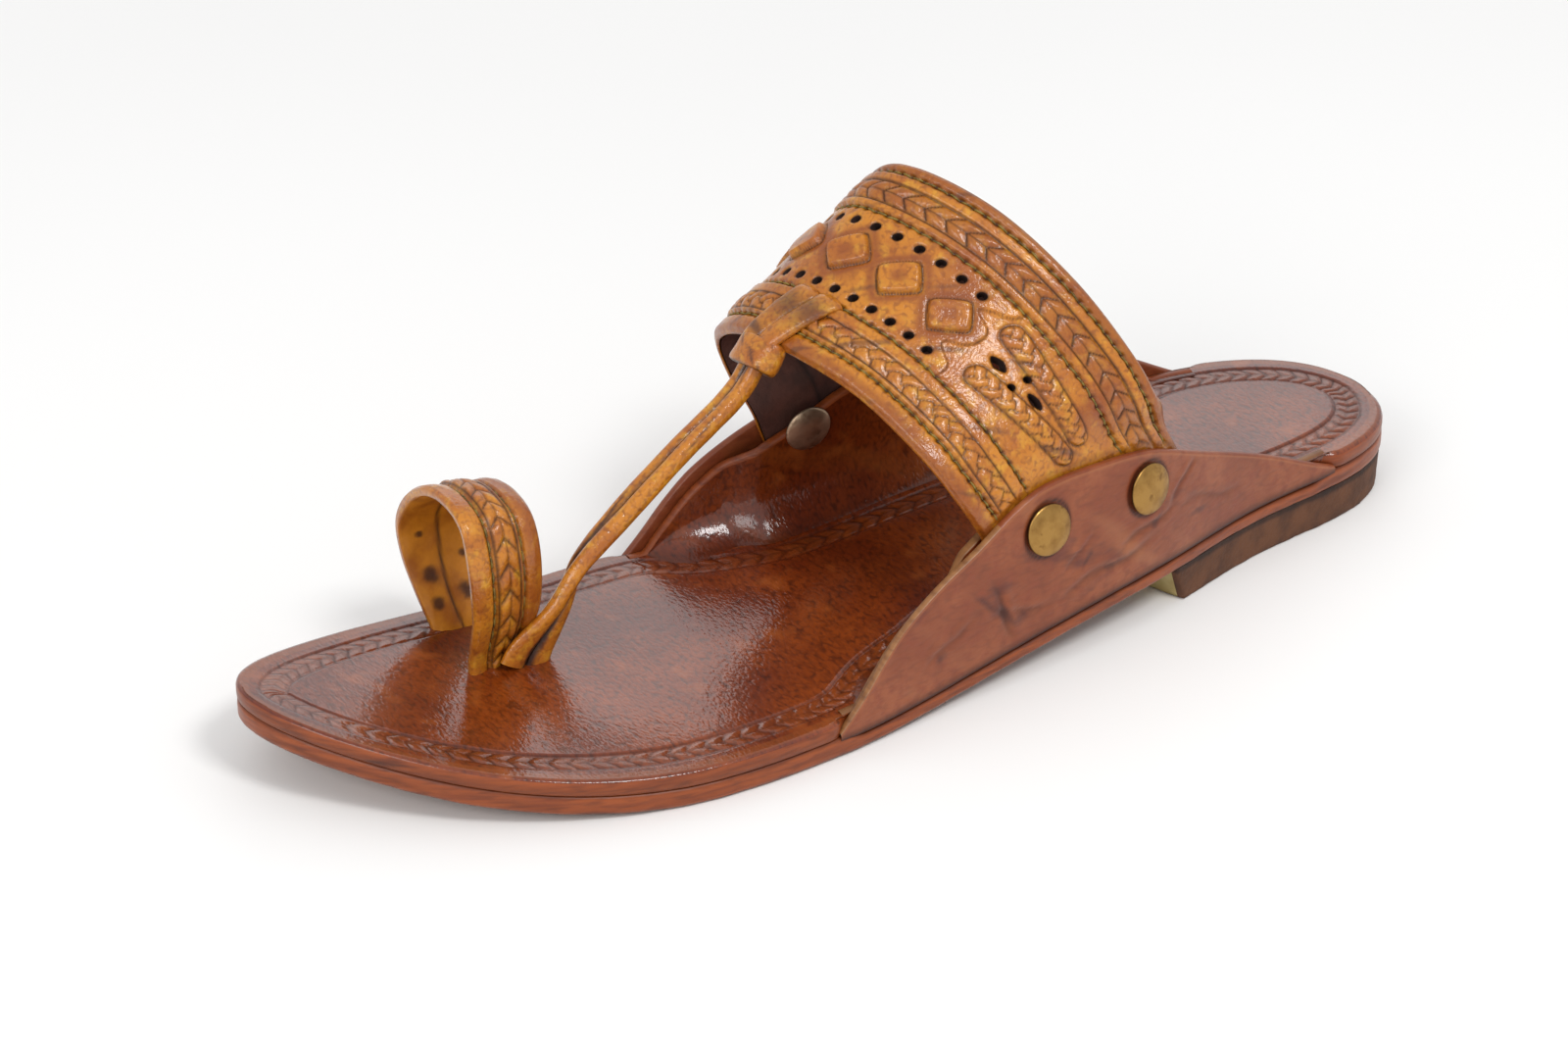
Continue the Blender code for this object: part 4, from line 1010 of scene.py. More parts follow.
def press_lozenges(across, along, width, height, crease_dirt_and_shade, tone):
    """The row of raised lozenges, each with a pressed line and browner leather round it."""
    for index in range(-LOZENGES_EACH_SIDE, LOZENGES_EACH_SIDE + 1):
        x = (across - BAND_MIDDLE) * BAND_LENGTH - index * LOZENGE_PITCH
        y = (along - LOZENGE_ROW) * width
        x = np.hypot(x, LOZENGE_CORNER) - LOZENGE_CORNER
        y = np.hypot(y, LOZENGE_CORNER) - LOZENGE_CORNER
        level = (x**LOZENGE_POWER + y**LOZENGE_POWER) ** (1 / LOZENGE_POWER) / LOZENGE_REACH
        pad = soft_step((1.02 - level) / 0.17)
        height = height + LOZENGE_RISE * pad * (1 - 0.08 * soft_step(1 - level * 1.4))
        height = height - PRESSED_LINE * ridge(level - 1.06, 0.06)
        crease_dirt_and_shade = np.maximum(crease_dirt_and_shade, 0.9 * ridge(level - 1.05, 0.055))
        tone = np.maximum(tone, 0.7 * soft_step((0.50 - level) / 0.4))
        tone = np.maximum(tone, 0.8 * ridge(level - 1.35, 0.30))
    return height, crease_dirt_and_shade, tone


def press_motif(across, along, width, mirrored, height, crease_dirt_and_shade):
    """One side's pair of plaited arms, and the scalloped edge of the overlay that they lie on."""

    def placed(spot):
        return mirrored_place(spot) if mirrored else spot

    run = across * BAND_LENGTH
    for start_across, start_along, end_across, end_along in MOTIF_ARMS:
        start = (placed(start_across) * BAND_LENGTH, start_along * band_width(start_across))
        end = (placed(end_across) * BAND_LENGTH, end_along * band_width(end_across))
        line, offset, distance, length = capsule(run, along * width, start, end)
        half = ARM_WIDTH / 2 * (1 - ARM_TAPER * np.clip(line / length, 0, 1))
        inside = soft_step((half - distance) / (0.5 * MM))
        strand, dark = plait_relief(line, offset, ARM_WIDTH / 2, ARM_PITCH, False)
        rim = ridge(distance - half, 0.32 * MM)
        height = height + ARM_RISE * inside * (0.30 + 0.70 * strand) - PRESSED_LINE * rim
        crease_dirt_and_shade = np.maximum(crease_dirt_and_shade, np.maximum(0.85 * dark * inside, 0.8 * rim))
    edge = placed(read_curve(SCALLOP_TABLE, along)[0])
    field = soft_step((along - 0.288) / 0.01) * soft_step((0.73 - along) / 0.01)
    beyond = (edge - across) * BAND_LENGTH * (-1 if mirrored else 1)
    height = height - OVERLAY_STEP * field * soft_step(beyond / (0.5 * MM) + 0.5)
    crease_dirt_and_shade = np.maximum(crease_dirt_and_shade, 0.7 * field * ridge(beyond, 0.24 * MM))
    return height, crease_dirt_and_shade


def band_relief(across, along):
    """Height of the band's face over its plain surface, and its painted masks."""
    spot = band_point(across, along)
    side = np.where(across < 0.5, LATERAL, MEDIAL)
    over_flap = spot[..., 2] - flap_top(side, spot[..., 1])
    free = soft_step((over_flap + 0.5 * MM) / (2.5 * MM))
    width = band_width(across)
    run = across * BAND_LENGTH
    lane = along + band_sway(run)
    height = read_steps(STRIP_TABLE, lane) * MM
    crease_dirt_and_shade = np.zeros_like(across)
    tone = np.zeros_like(across)
    # grooves, plait creases and stitch dimples are painted dark, dirt and shade together
    for groove in PLAIT_GROOVES:
        crease_dirt_and_shade = np.maximum(crease_dirt_and_shade, 0.9 * ridge((lane - groove) * width, 0.28 * MM))
    for middle, chevron, crease_share, tone_share in BAND_PLAITS:
        offset = (lane - middle) * width
        strand, dark = plait_relief(run, offset, PLAIT_WIDTH / 2, PLAIT_PITCH, chevron)
        height = height + PLAIT_RISE * strand
        crease_dirt_and_shade = np.maximum(crease_dirt_and_shade, crease_share * dark)
        tone = np.maximum(tone, tone_share * soft_step((PLAIT_WIDTH / 2 - np.abs(offset)) / (0.6 * MM)))
    for row in STITCH_ROWS:
        step = (run % STITCH_PITCH) - STITCH_PITCH / 2
        off_row = (lane - row) * width
        dimple = ridge(np.hypot(step, off_row), 0.62 * MM)
        height = height - STITCH_DEPTH * dimple
        crease_dirt_and_shade = np.maximum(crease_dirt_and_shade, np.maximum(dimple, 0.35 * ridge(off_row, 0.5 * MM)))
    height, crease_dirt_and_shade, tone = press_lozenges(across, along, width, height, crease_dirt_and_shade, tone)
    for mirrored in (False, True):
        height, crease_dirt_and_shade = press_motif(across, along, width, mirrored, height, crease_dirt_and_shade)
    for hole in punched_holes():
        near = (np.abs(across - hole[0]) < 0.03) & (np.abs(along - hole[1]) < 0.09)
        level = hole_reach(across[near], along[near], hole)
        height[near] -= PRESSED_LINE * ridge(level - 1.0, 0.22)
        crease_dirt_and_shade[near] = np.maximum(crease_dirt_and_shade[near], 0.9 * ridge(level - 0.95, 0.13))
    height = height * (0.25 + 0.75 * free) + 0.10 * MM * wander(run / (11 * MM), along * 7.0)
    from_edge = np.minimum(along, 1 - along)
    turned = np.clip(EDGE_BEND - from_edge * width, 0, EDGE_BEND)
    height = height - (EDGE_BEND - np.sqrt(EDGE_BEND**2 - turned**2))
    tone = np.maximum(tone, 0.55 * soft_step(wander(run / (17 * MM), along * 3.1) * 1.4 - 0.5))
    tone = np.maximum(tone, 0.65 * soft_step((0.07 - from_edge) / 0.04))
    stain = 0.5 * soft_step((wander(run / (6 * MM), along * 9.0, run / (23 * MM)) - 0.62) / 0.25)
    # painted shade on the band just under and along the flap's top edge
    tucked = 0.8 * (1 - free) * soft_step((over_flap + 2 * MM) / MM)
    crease_dirt_and_shade = np.maximum(crease_dirt_and_shade, tucked) * (0.3 + 0.7 * free)
    return height, {"crease_dirt_and_shade": crease_dirt_and_shade, "tone": tone, "stain": stain}


def band_grid(acrosses, alongs, holes, grow):
    """Grid over the band whose points next to a hole lie on its outline, and the faces that are left."""
    across, along = np.meshgrid(acrosses, alongs, indexing="ij")
    quads = grid_quads(len(acrosses), len(alongs))
    flat_across, flat_along = across.ravel(), along.ravel()
    centre_across = flat_across[quads].mean(1)
    centre_along = flat_along[quads].mean(1)
    keep = np.ones(len(quads), bool)
    for hole in holes:
        near = np.where((np.abs(centre_across - hole[0]) < 0.03) & (np.abs(centre_along - hole[1]) < 0.08))[0]
        inside = near[hole_reach(centre_across[near], centre_along[near], hole, grow) < 1]
        keep[inside] = False
        rim = np.intersect1d(quads[inside], quads[np.setdiff1d(near, inside)])
        level = hole_reach(flat_across[rim], flat_along[rim], hole, grow)
        flat_across[rim] = hole[0] + (flat_across[rim] - hole[0]) / level
        flat_along[rim] = hole[1] + (flat_along[rim] - hole[1]) / level
    return flat_across, flat_along, quads[keep]


def zone(start, end, step):
    """Shares from a start up to an end, at about one step in millimetres over the band's width."""
    count = max(int(round((end - start) * float(band_width(0.3)) / (step * MM))), 1)
    return list(np.linspace(start, end, count, endpoint=False))


def make_band_face():
    """The band's varnished face, turned over at its front and back edges."""
    acrosses = np.linspace(0, 1, 431)
    alongs = zone(0, 0.025, 0.22) + zone(0.025, 0.295, 0.33) + zone(0.295, 0.72, 0.40)
    alongs += zone(0.72, 0.975, 0.33) + zone(0.975, 1.0, 0.22) + [1.0]
    across, along, face = band_grid(acrosses, np.array(alongs), punched_holes(), 0.0)
    height, marks = band_relief(across, along)
    points, quads = [band_point(across, along, height)], [face]
    rows, columns = len(acrosses), len(alongs)
    first, steps = rows * columns, 5
    width = band_width(acrosses)
    rim_shade = []
    # the rolled edges carry the face round to the lining
    for edge, column, out in ((0.0, 0, -1), (1.0, columns - 1, 1)):
        last = np.arange(rows) * columns + column
        for step in range(1, steps + 1):
            angle = math.pi / 2 * step / steps
            drop = -EDGE_BEND - (BAND_THICKNESS - 1.5 * MM) * math.sin(angle) ** 2
            push = out * 0.3 * MM * math.sin(2 * angle)
            points.append(band_point(acrosses, edge + push / width, np.full(rows, drop)))
            here = first + np.arange(rows)
            quads.append(np.stack((last[:-1], last[1:], here[1:], here[:-1]), 1))
            # painted shade, growing as the rolled edge turns under towards the lining
            rim_shade.append(np.full(rows, 0.15 * step / steps))
            last = here
            first += rows
    crease_dirt_and_shade = np.concatenate(rim_shade)
    rims = {"crease_dirt_and_shade": crease_dirt_and_shade, "tone": np.full_like(crease_dirt_and_shade, 0.35), "stain": np.zeros_like(crease_dirt_and_shade)}
    marks = {key: np.concatenate((values, rims[key])) for key, values in marks.items()}
    points, quads = np.concatenate(points), np.concatenate(quads)
    make_piece("band_face", points, quads, ["honey"], ["upper"], marks)


def make_band_lining():
    """The band's flesh side, with the two ridges where its layers are sewn together."""
    acrosses = np.linspace(0, 1, 211)
    alongs = np.linspace(0.004, 0.996, 62)
    across, along, quads = band_grid(acrosses, alongs, punched_holes(), -LINING_HOLE_SHRINK)
    run = across * BAND_LENGTH
    height = -BAND_THICKNESS + 0.06 * MM * wander(run / (7 * MM), along * 9)
    crease_dirt_and_shade = np.zeros_like(across)
    for seam in (0.30, 0.70):
        dash = 0.5 + 0.5 * np.sign(np.sin(2 * np.pi * run / (3.2 * MM)))
        mark = ridge((along - seam) * band_width(across), 0.6 * MM)
        height = height + 0.25 * MM * mark * (0.3 + 0.7 * dash)
        crease_dirt_and_shade = np.maximum(crease_dirt_and_shade, 0.8 * mark)
    stain = 0.5 * soft_step(wander(run / (15 * MM), along * 4) * 1.5)
    points = band_point(across, along, height)
    marks = {"crease_dirt_and_shade": crease_dirt_and_shade, "stain": stain}
    make_piece("band_lining", points, quads[:, ::-1], ["lining"], (), marks)


def make_hole_walls():
    """The punched walls, drawn in from the band's face towards its lining."""
    sides, points, quads = 16, [], []
    levels = ((-0.25 * MM, 0.0), (-1.4 * MM, 0.1), (-BAND_THICKNESS, 0.45))
    for middle_across, middle_along, half_long, half_wide, power in punched_holes():
        angle = round_angles(sides)
        reach = (np.abs(np.cos(angle)) ** power + np.abs(np.sin(angle)) ** power) ** (-1 / power)
        across = np.cos(angle) * reach * half_long / BAND_LENGTH
        along = np.sin(angle) * reach * half_wide / band_width(middle_across)
        first = len(quads) * len(levels) * sides
        for height, shrink in levels:
            ring_across = middle_across + across * (1 - shrink)
            ring_along = middle_along + along * (1 - shrink)
            points.append(band_point(ring_across, ring_along, np.full(sides, height)))
        quads.append(grid_quads(len(levels), sides, first, close_columns=True))
    points, quads = np.concatenate(points), np.concatenate(quads)
    # painted shade: the punched walls are darkened all over, inside the holes
    crease_dirt_and_shade = np.full(len(points), 0.8)
    make_piece("punched_hole_walls", points, quads, ["lining"], (), {"crease_dirt_and_shade": crease_dirt_and_shade})


def add_thread(points, quads, start, end, lift, radius):
    """One stitch: a short round thread that dips into its two holes."""
    side = unit(np.cross(unit(end - start), lift))
    rings, sides = 6, 6
    first = sum(len(part) for part in points)
    made = []
    for step in range(rings + 1):
        share = step / rings
        bow = math.sin(math.pi * share) ** 0.5
        centre = start + (end - start) * share + lift * (radius * (1.15 * bow - 0.75))
        girth = radius * (0.55 + 0.45 * bow)
        for angle in round_angles(sides):
            made.append(centre + side * (girth * math.cos(angle)) + lift * (girth * math.sin(angle)))
    points.append(np.array(made))
    quads.append(grid_quads(rings + 1, sides, first, close_columns=True))


def make_band_stitches():
    """Rows of single stitches in the band's grooves, where the flaps don't cover them."""
    points, quads = [], []
    for row in STITCH_ROWS:
        level = float(read_steps(STRIP_TABLE, np.array(row))) * MM - THREAD_SINK
        for index in range(int(BAND_LENGTH / STITCH_PITCH)):
            low, high = ((index + part) * STITCH_PITCH / BAND_LENGTH for part in (0.5, 1.5))
            middle = 0.5 * (low + high)
            spot = band_point(middle, row)
            side = LATERAL if middle < 0.5 else MEDIAL
            if middle > 0.98 or spot[2] < flap_top(side, spot[1]) + 0.5 * MM:
                continue
            slant = 0.004 * math.sin(index * 1.7)
            start = band_point(low + 0.0012, row - band_sway(low * BAND_LENGTH) + slant, level)
            end = band_point(high - 0.0012, row - band_sway(high * BAND_LENGTH) - slant, level)
            lift = unit(band_point(middle, row, 1 * MM) - spot)
            add_thread(points, quads, start, end, lift, THREAD_RADIUS)
    points, quads = np.concatenate(points), np.concatenate(quads)
    make_piece("band_stitches", points, quads, ["thread"])


# Soles, heel, wings and flaps


def outline_loop(inset, count):
    """Points round the sole, evenly spaced, inset from its edge by a rule of side and Y."""
    share = 0.5 * (1 - np.cos(np.pi * np.linspace(0.0, 1.0, 700)))
    share = np.clip(share, 0.00002, 0.99998)
    y = along_y(share)
    lateral = np.stack((sole_edge(share, LATERAL) - inset(LATERAL, y), y), 1)
    medial = np.stack((sole_edge(share, MEDIAL) + inset(MEDIAL, y), y), 1)
    loop = np.concatenate((lateral, medial[::-1][1:-1]))
    closed = np.concatenate((loop, loop[:1]))
    lengths = run_lengths(closed)
    places = np.linspace(0, lengths[-1], count, endpoint=False)
    x, y = (np.interp(places, lengths, closed[:, axis]) for axis in (0, 1))
    return np.stack((x, y), 1), places, lengths[-1]


def inward(loop):
    """Unit normals into a loop that runs from the heel up the lateral side to the toe and back."""
    step = np.roll(loop, -3, axis=0) - np.roll(loop, 3, axis=0)
    normal = unit(np.stack((-step[:, 1], step[:, 0]), 1))
    if ((loop.mean(0) - loop) * normal).sum(1).mean() < 0:
        normal = -normal
    return normal


def averaged(loop, times):
    """A closed line's points, each drawn towards its neighbours several times."""
    for _ in range(times):
        loop = 0.5 * loop + 0.25 * (np.roll(loop, 1, axis=0) + np.roll(loop, -1, axis=0))
    return loop


def wing_part(side, y):
    """1 where the inner wing stands, falling to 0 past its tips."""
    rise = flap_top(side, y) - WING_DROP - top_sole_top(along_share(y))
    share = flap_share(side, y)
    inside = soft_step(share / 0.03) * soft_step((1 - share) / 0.03)
    return soft_step(rise / (15 * MM)) * inside


def plate_inset(side, y):
    """How far the flat plate stops inside the sole's edge: only where the flap and wing rise there."""
    share = flap_share(side, y)
    inside = soft_step((share + 0.01) / 0.03) * soft_step((1.01 - share) / 0.03)
    return inside * (FLAP_THICKNESS + 2 * CLEARANCE)


def border_start(side, y):
    """Inset of the line that the stamped border follows: the sole's edge, or the foot of the wing."""
    foot = wing_inset(side, y) + WING_THICKNESS + 0.55 * WING_FILLET
    return 1.6 * MM + wing_part(side, y) * foot


def make_top_sole():
    """The varnished plate with its burnished edge and the stamped border all round."""
    count = 1400
    path, places, length = outline_loop(border_start, count)
    # offsets inwards need a smooth line, so the path is averaged along its length
    path = averaged(path, 260)
    normal = inward(path)
    for _ in range(40):
        normal = unit(averaged(normal, 1))
    # the plate's own edge at the same place round the shoe, seen from the path
    rim, _, _ = outline_loop(plate_inset, 6000)
    nearest = np.array([np.argmin(((rim - spot) ** 2).sum(1)) for spot in path])
    edge = averaged(rim[nearest], 6)
    outward = -inward(edge)
    columns, heights, offsets = [], [], []

    def add_line(line, height, offset):
        columns.append(line)
        heights.append(np.full(count, height))
        offsets.append(np.full(count, offset))

    low = -(TOP_SOLE_THICKNESS + 0.7 * CLEARANCE) / MM
    # pushed outwards and dropped from the plate's top edge, in millimetres
    rim_steps = (
        (-2.5, low),
        (-0.4, low),
        (-0.03, low + 0.3),
        (0.05, 0.6 * low),
        (0.02, 0.3 * low),
        (-0.12, -0.55),
        (-0.45, -0.2),
        (-1.0, -0.03),
    )
    for push, drop in rim_steps:
        add_line(edge + outward * push * MM, drop * MM, (push - 2.0) * MM)
    for part in (0.35, 0.7):
        add_line((edge - outward * MM) * (1 - part) + path * part, 0.0, (part - 1) * MM)
    reach = BORDER_INSET + BORDER_WIDTH + 1.0 * MM
    for offset in np.linspace(0, reach, 27):
        add_line(path + normal * offset, 0.0, offset)
    inner = path + normal * reach
    spine_y = np.clip(inner[:, 1], along_y(0.86), along_y(0.09))
    spine_share = along_share(spine_y)
    spine_x = 0.5 * (sole_edge(spine_share, LATERAL) + sole_edge(spine_share, MEDIAL))
    spine = np.stack((spine_x, spine_y), 1)
    for part in np.linspace(0, 1, 12)[1:]:
        add_line(inner * (1 - part) + spine * part, 0.0, 1.0)
    flat, drop, offset = (np.stack(parts, 1) for parts in (columns, heights, offsets))
    run = np.broadcast_to(places[:, None], offset.shape)
    middle = offset - BORDER_INSET - BORDER_WIDTH / 2
    pitch = length / round(length / BORDER_PITCH)
    strand, dark = plait_relief(run, middle, BORDER_WIDTH / 2, pitch, True)
    rails = ridge(np.abs(middle) - 1.06 * BORDER_WIDTH / 2, 0.28 * MM)
    worn = 0.75 + 0.25 * wander(run / (19 * MM))
    bordered = np.abs(middle) < BORDER_WIDTH / 2
    top = drop > -0.1 * MM
    z = top_sole_top(np.clip(along_share(flat[..., 1]), 0, 1)) + drop
    z = z - BORDER_DEPTH * (0.85 * bordered * (1 - strand) + 0.6 * rails) * worn
    z = z + np.where(top, 0.10 * MM * wander(flat[..., 0] / (17 * MM), flat[..., 1] / (23 * MM)), 0)
    # the stamped border's furrows are painted dark, dirt and shade together
    crease_dirt_and_shade = np.where(top, 0.85 * np.maximum(dark, 0.7 * rails) * worn, 0)
    # painted shade: a dark line low on the plate's edge, over the gap to the outsole
    crease_dirt_and_shade[:, 2:4] = 0.5 * (crease_dirt_and_shade[:, 2:4] + 0.4)
    tone = np.where(top & bordered, 0.30 * strand, 0)
    tone = np.where(top & (offset < 1.2 * MM), 0.45, tone)
    points = np.concatenate((flat, z[..., None]), 2)
    quads = grid_quads(count, len(columns), close_rows=True)
    kinds = np.where(quads[:, 0] % len(columns) < 5, 1, 0)
    marks = {"crease_dirt_and_shade": crease_dirt_and_shade, "tone": tone}
    keys = ["varnish", "edge"]
    make_piece("top_sole_plate", points, quads, keys, ["top_sole"], marks, kinds)


def make_wing(side, name):
    """The inner wing: the top sole folded up, with its cut edge along the top."""
    front, rear = flap_tips(side)
    y = np.linspace(along_y(front - 0.006), along_y(rear + 0.006), 260)
    floor = top_sole_top(along_share(y))
    inset = wing_inset(side, y)
    high = np.maximum(flap_top(side, y) - WING_DROP, floor + 0.3 * MM)
    rise = high - floor
    fillet = np.minimum(WING_FILLET, 0.8 * rise + 1.0 * MM)
    outer_rows, edge_rows = 6, 5
    rows = []
    for level in np.linspace(0.0, 1.0, outer_rows):
        rows.append((floor - 1.5 * MM + (rise + 1.5 * MM - WING_ROUND) * level, inset))
    for turn in range(1, edge_rows + 1):
        angle = math.pi * turn / (edge_rows + 1)
        z = high - WING_ROUND + WING_ROUND * math.sin(angle)
        rows.append((z, inset + WING_THICKNESS / 2 * (1 - math.cos(angle))))
    for level in np.linspace(1.0, 0.0, 30)[1:]:
        flare = np.clip(1 - level / 0.62, 0, 1) ** 2.4
        rows.append((floor + (rise - WING_ROUND) * level, inset + WING_THICKNESS + flare * fillet))
    rows.append((floor - 0.25 * MM, inset + WING_THICKNESS + fillet * 1.15))
    z, depth = (np.stack(parts, 1) for parts in zip(*rows))
    along = np.broadcast_to(y[:, None], z.shape)
    swell = 0.16 * MM * wander(along / (9 * MM), z / (7 * MM))
    x = wall_x(side, along, z, depth + swell * (z > floor[:, None] + 2 * MM))
    points = np.stack((x, along, z), -1)
    quads = grid_quads(len(y), len(rows))
    if side == MEDIAL:
        quads = quads[:, ::-1]
    column = quads.min(1) % len(rows)
    edge_end = outer_rows + edge_rows
    kinds = np.where((column >= outer_rows - 1) & (column < edge_end), 1, 0)
    # painted shade: darker at the wing's foot where it meets the plate, and a little on its outer face and
    # edge
    crease_dirt_and_shade = 0.4 * ridge(z - floor[:, None], 1.2 * MM)
    crease_dirt_and_shade[:, :edge_end] = 0.1
    tone = 0.35 * soft_step(wander(along / (13 * MM), z / (5 * MM)) * 1.5 - 0.3)
    cut = "raw_edge" if side == LATERAL else "edge"
    marks = {"crease_dirt_and_shade": crease_dirt_and_shade, "tone": tone}
    make_piece(name, points, quads, ["varnish", cut], (), marks, kinds)


def crease_depth(side, along, up):
    """Depth of a flap's creases, at shares along it and up it."""
    length = SOLE_LENGTH * FLAP_REACH
    height = float(flap_height(side))
    depth = np.zeros_like(along)
    for place, level, reach, slope, deep, wide in FLAP_CREASES:
        if side == MEDIAL:
            place, slope = 0.96 - place, -slope
        x = (along - place) * length
        y = (up - level) * height
        turn = math.atan(slope)
        run = x * math.cos(turn) + y * math.sin(turn)
        off = y * math.cos(turn) - x * math.sin(turn) + 0.8 * MM * np.sin(run / (3.1 * MM))
        fade = np.exp(-((run / (reach * MM / 2)) ** 4))
        trough = ridge(off, wide * MM / 2)
        bank = ridge(off - wide * MM, wide * MM * 0.7)
        depth = depth + deep * MM * fade * (trough - 0.55 * bank)
    return depth


def rivet_seats(side, share, up, length):
    """Where the caps press a flap flat, and a line of painted shade round each cap, where it meets the
    leather.
    """
    cap = RIVET_CAP_DIAMETER / 2
    seat = np.zeros_like(up)
    ring = np.zeros_like(up)
    for _, rivet_side, place, level in RIVETS:
        if rivet_side == side:
            reach = np.hypot((share - place) * length, (up - level) * flap_height(side))
            seat = np.maximum(seat, soft_step((cap + 1.6 * MM - reach) / (2.0 * MM)))
            # painted shade: a dark ring just outside the cap
            ring = np.maximum(ring, ridge(reach - cap - 0.15 * MM, 0.5 * MM))
    return seat, ring


def make_flap(side, name):
    """An outer flap: thin waxed leather folded up from between the soles, creased and stained."""
    front, rear = flap_tips(side)
    length = SOLE_LENGTH * (front - rear)
    y = np.linspace(along_y(front), along_y(rear), 330)
    fold = outsole_top(along_share(y))
    high = flap_top(side, y)
    body = np.maximum(high - fold - FLAP_ROUND, 0.1 * MM)
    still = np.zeros_like(y)
    # the turned-in foot, the outer face, the rounded top and the inner face
    foot = ((1.3, 3.0), (1.4, 0.9), (1.1, 0.25), (0.5, 0.02))
    rows = [(fold - drop * MM, still + depth * MM) for drop, depth in foot]
    face_rows, edge_rows = 42, 6
    rows += [(fold + body * level, still) for level in np.linspace(0.0, 1.0, face_rows)]
    for turn in range(1, edge_rows + 1):
        angle = math.pi * turn / (edge_rows + 1)
        z = fold + body + FLAP_ROUND * math.sin(angle)
        rows.append((z, still + FLAP_THICKNESS / 2 * (1 - math.cos(angle))))
    rows += [(fold + body * level, still + FLAP_THICKNESS) for level in np.linspace(1.0, 0.0, 8)]
    z, depth = (np.stack(parts, 1) for parts in zip(*rows))
    along = np.broadcast_to(y[:, None], z.shape)
    column = np.broadcast_to(np.arange(len(rows)), z.shape)
    face_start, face_end = len(foot), len(foot) + face_rows
    face = (column >= face_start) & (column < face_end)
    over_fold = z - fold[:, None]
    under_top = high[:, None] - z
    up = over_fold / flap_height(side)
    share = flap_share(side, along)
    dent = crease_depth(side, share, up)
    fade = soft_step(np.minimum(over_fold, under_top) / (2.5 * MM))
    swell = 0.12 * MM * wander(along / (8 * MM), z / (6 * MM))
    swell = swell + 0.06 * MM * wander(along / (3 * MM), z / (2 * MM))
    seat, ring = rivet_seats(side, share, up, length)
    move = np.where(face, (dent + swell) * fade * (1 - seat) + 0.15 * MM * seat, 0)
    x = wall_x(side, along, z, depth + np.clip(move, -0.7 * MM, 0.9 * MM))
    points = np.stack((x, along, z), -1)
    quads = grid_quads(len(y), len(rows))
    if side == MEDIAL:
        quads = quads[:, ::-1]
    first = quads.min(1)
    on_edge = (first % len(rows) >= face_end) & (first % len(rows) < face_end + edge_rows)
    at_front = flap_share(side, y)[first // len(rows)] < 0.3
    kinds = np.where(on_edge & at_front, 1, 0)
    # the creases are painted darker with their depth, dirt and shade together
    crease_dirt_and_shade = np.where(face, np.clip(dent / (0.5 * MM), 0, 1) * 0.55 * fade, 0)
    # painted shade: a dark ring round each rivet cap
    crease_dirt_and_shade = np.maximum(crease_dirt_and_shade, 0.9 * ring * face)
    # painted shade along the flap's fold, and darker still on the turned-in foot between the soles
    fold_shade = 0.5 * ridge(up, 0.025) * face
    crease_dirt_and_shade = np.maximum(crease_dirt_and_shade, np.where(column < face_start, 0.85, fold_shade))
    stain = np.zeros_like(z)
    for place, level, half_long, half_high, lean in FLAP_STAINS:
        rise_past = (up - level) * flap_height(side)
        run_past = (share - place) * length - lean * rise_past
        reach = np.hypot(run_past / (half_long * MM), rise_past / (half_high * MM))
        ragged = 0.6 * wander(along / (1.6 * MM), z / (1.9 * MM))
        stain = np.maximum(stain, 0.85 * soft_step(1.1 - reach + ragged))
    tone = 0.5 * soft_step((0.035 - under_top / FLAP_HEIGHT_LATERAL) / 0.03) * face
    tone = np.maximum(tone, 0.4 * soft_step(wander(along / (12 * MM), z / (9 * MM)) * 1.6 - 0.7))
    marks = {"crease_dirt_and_shade": crease_dirt_and_shade, "stain": stain, "tone": tone}
    cut = "raw_edge" if side == LATERAL else "flap"
    make_piece(name, points, quads, ["flap", cut], [name], marks, kinds)


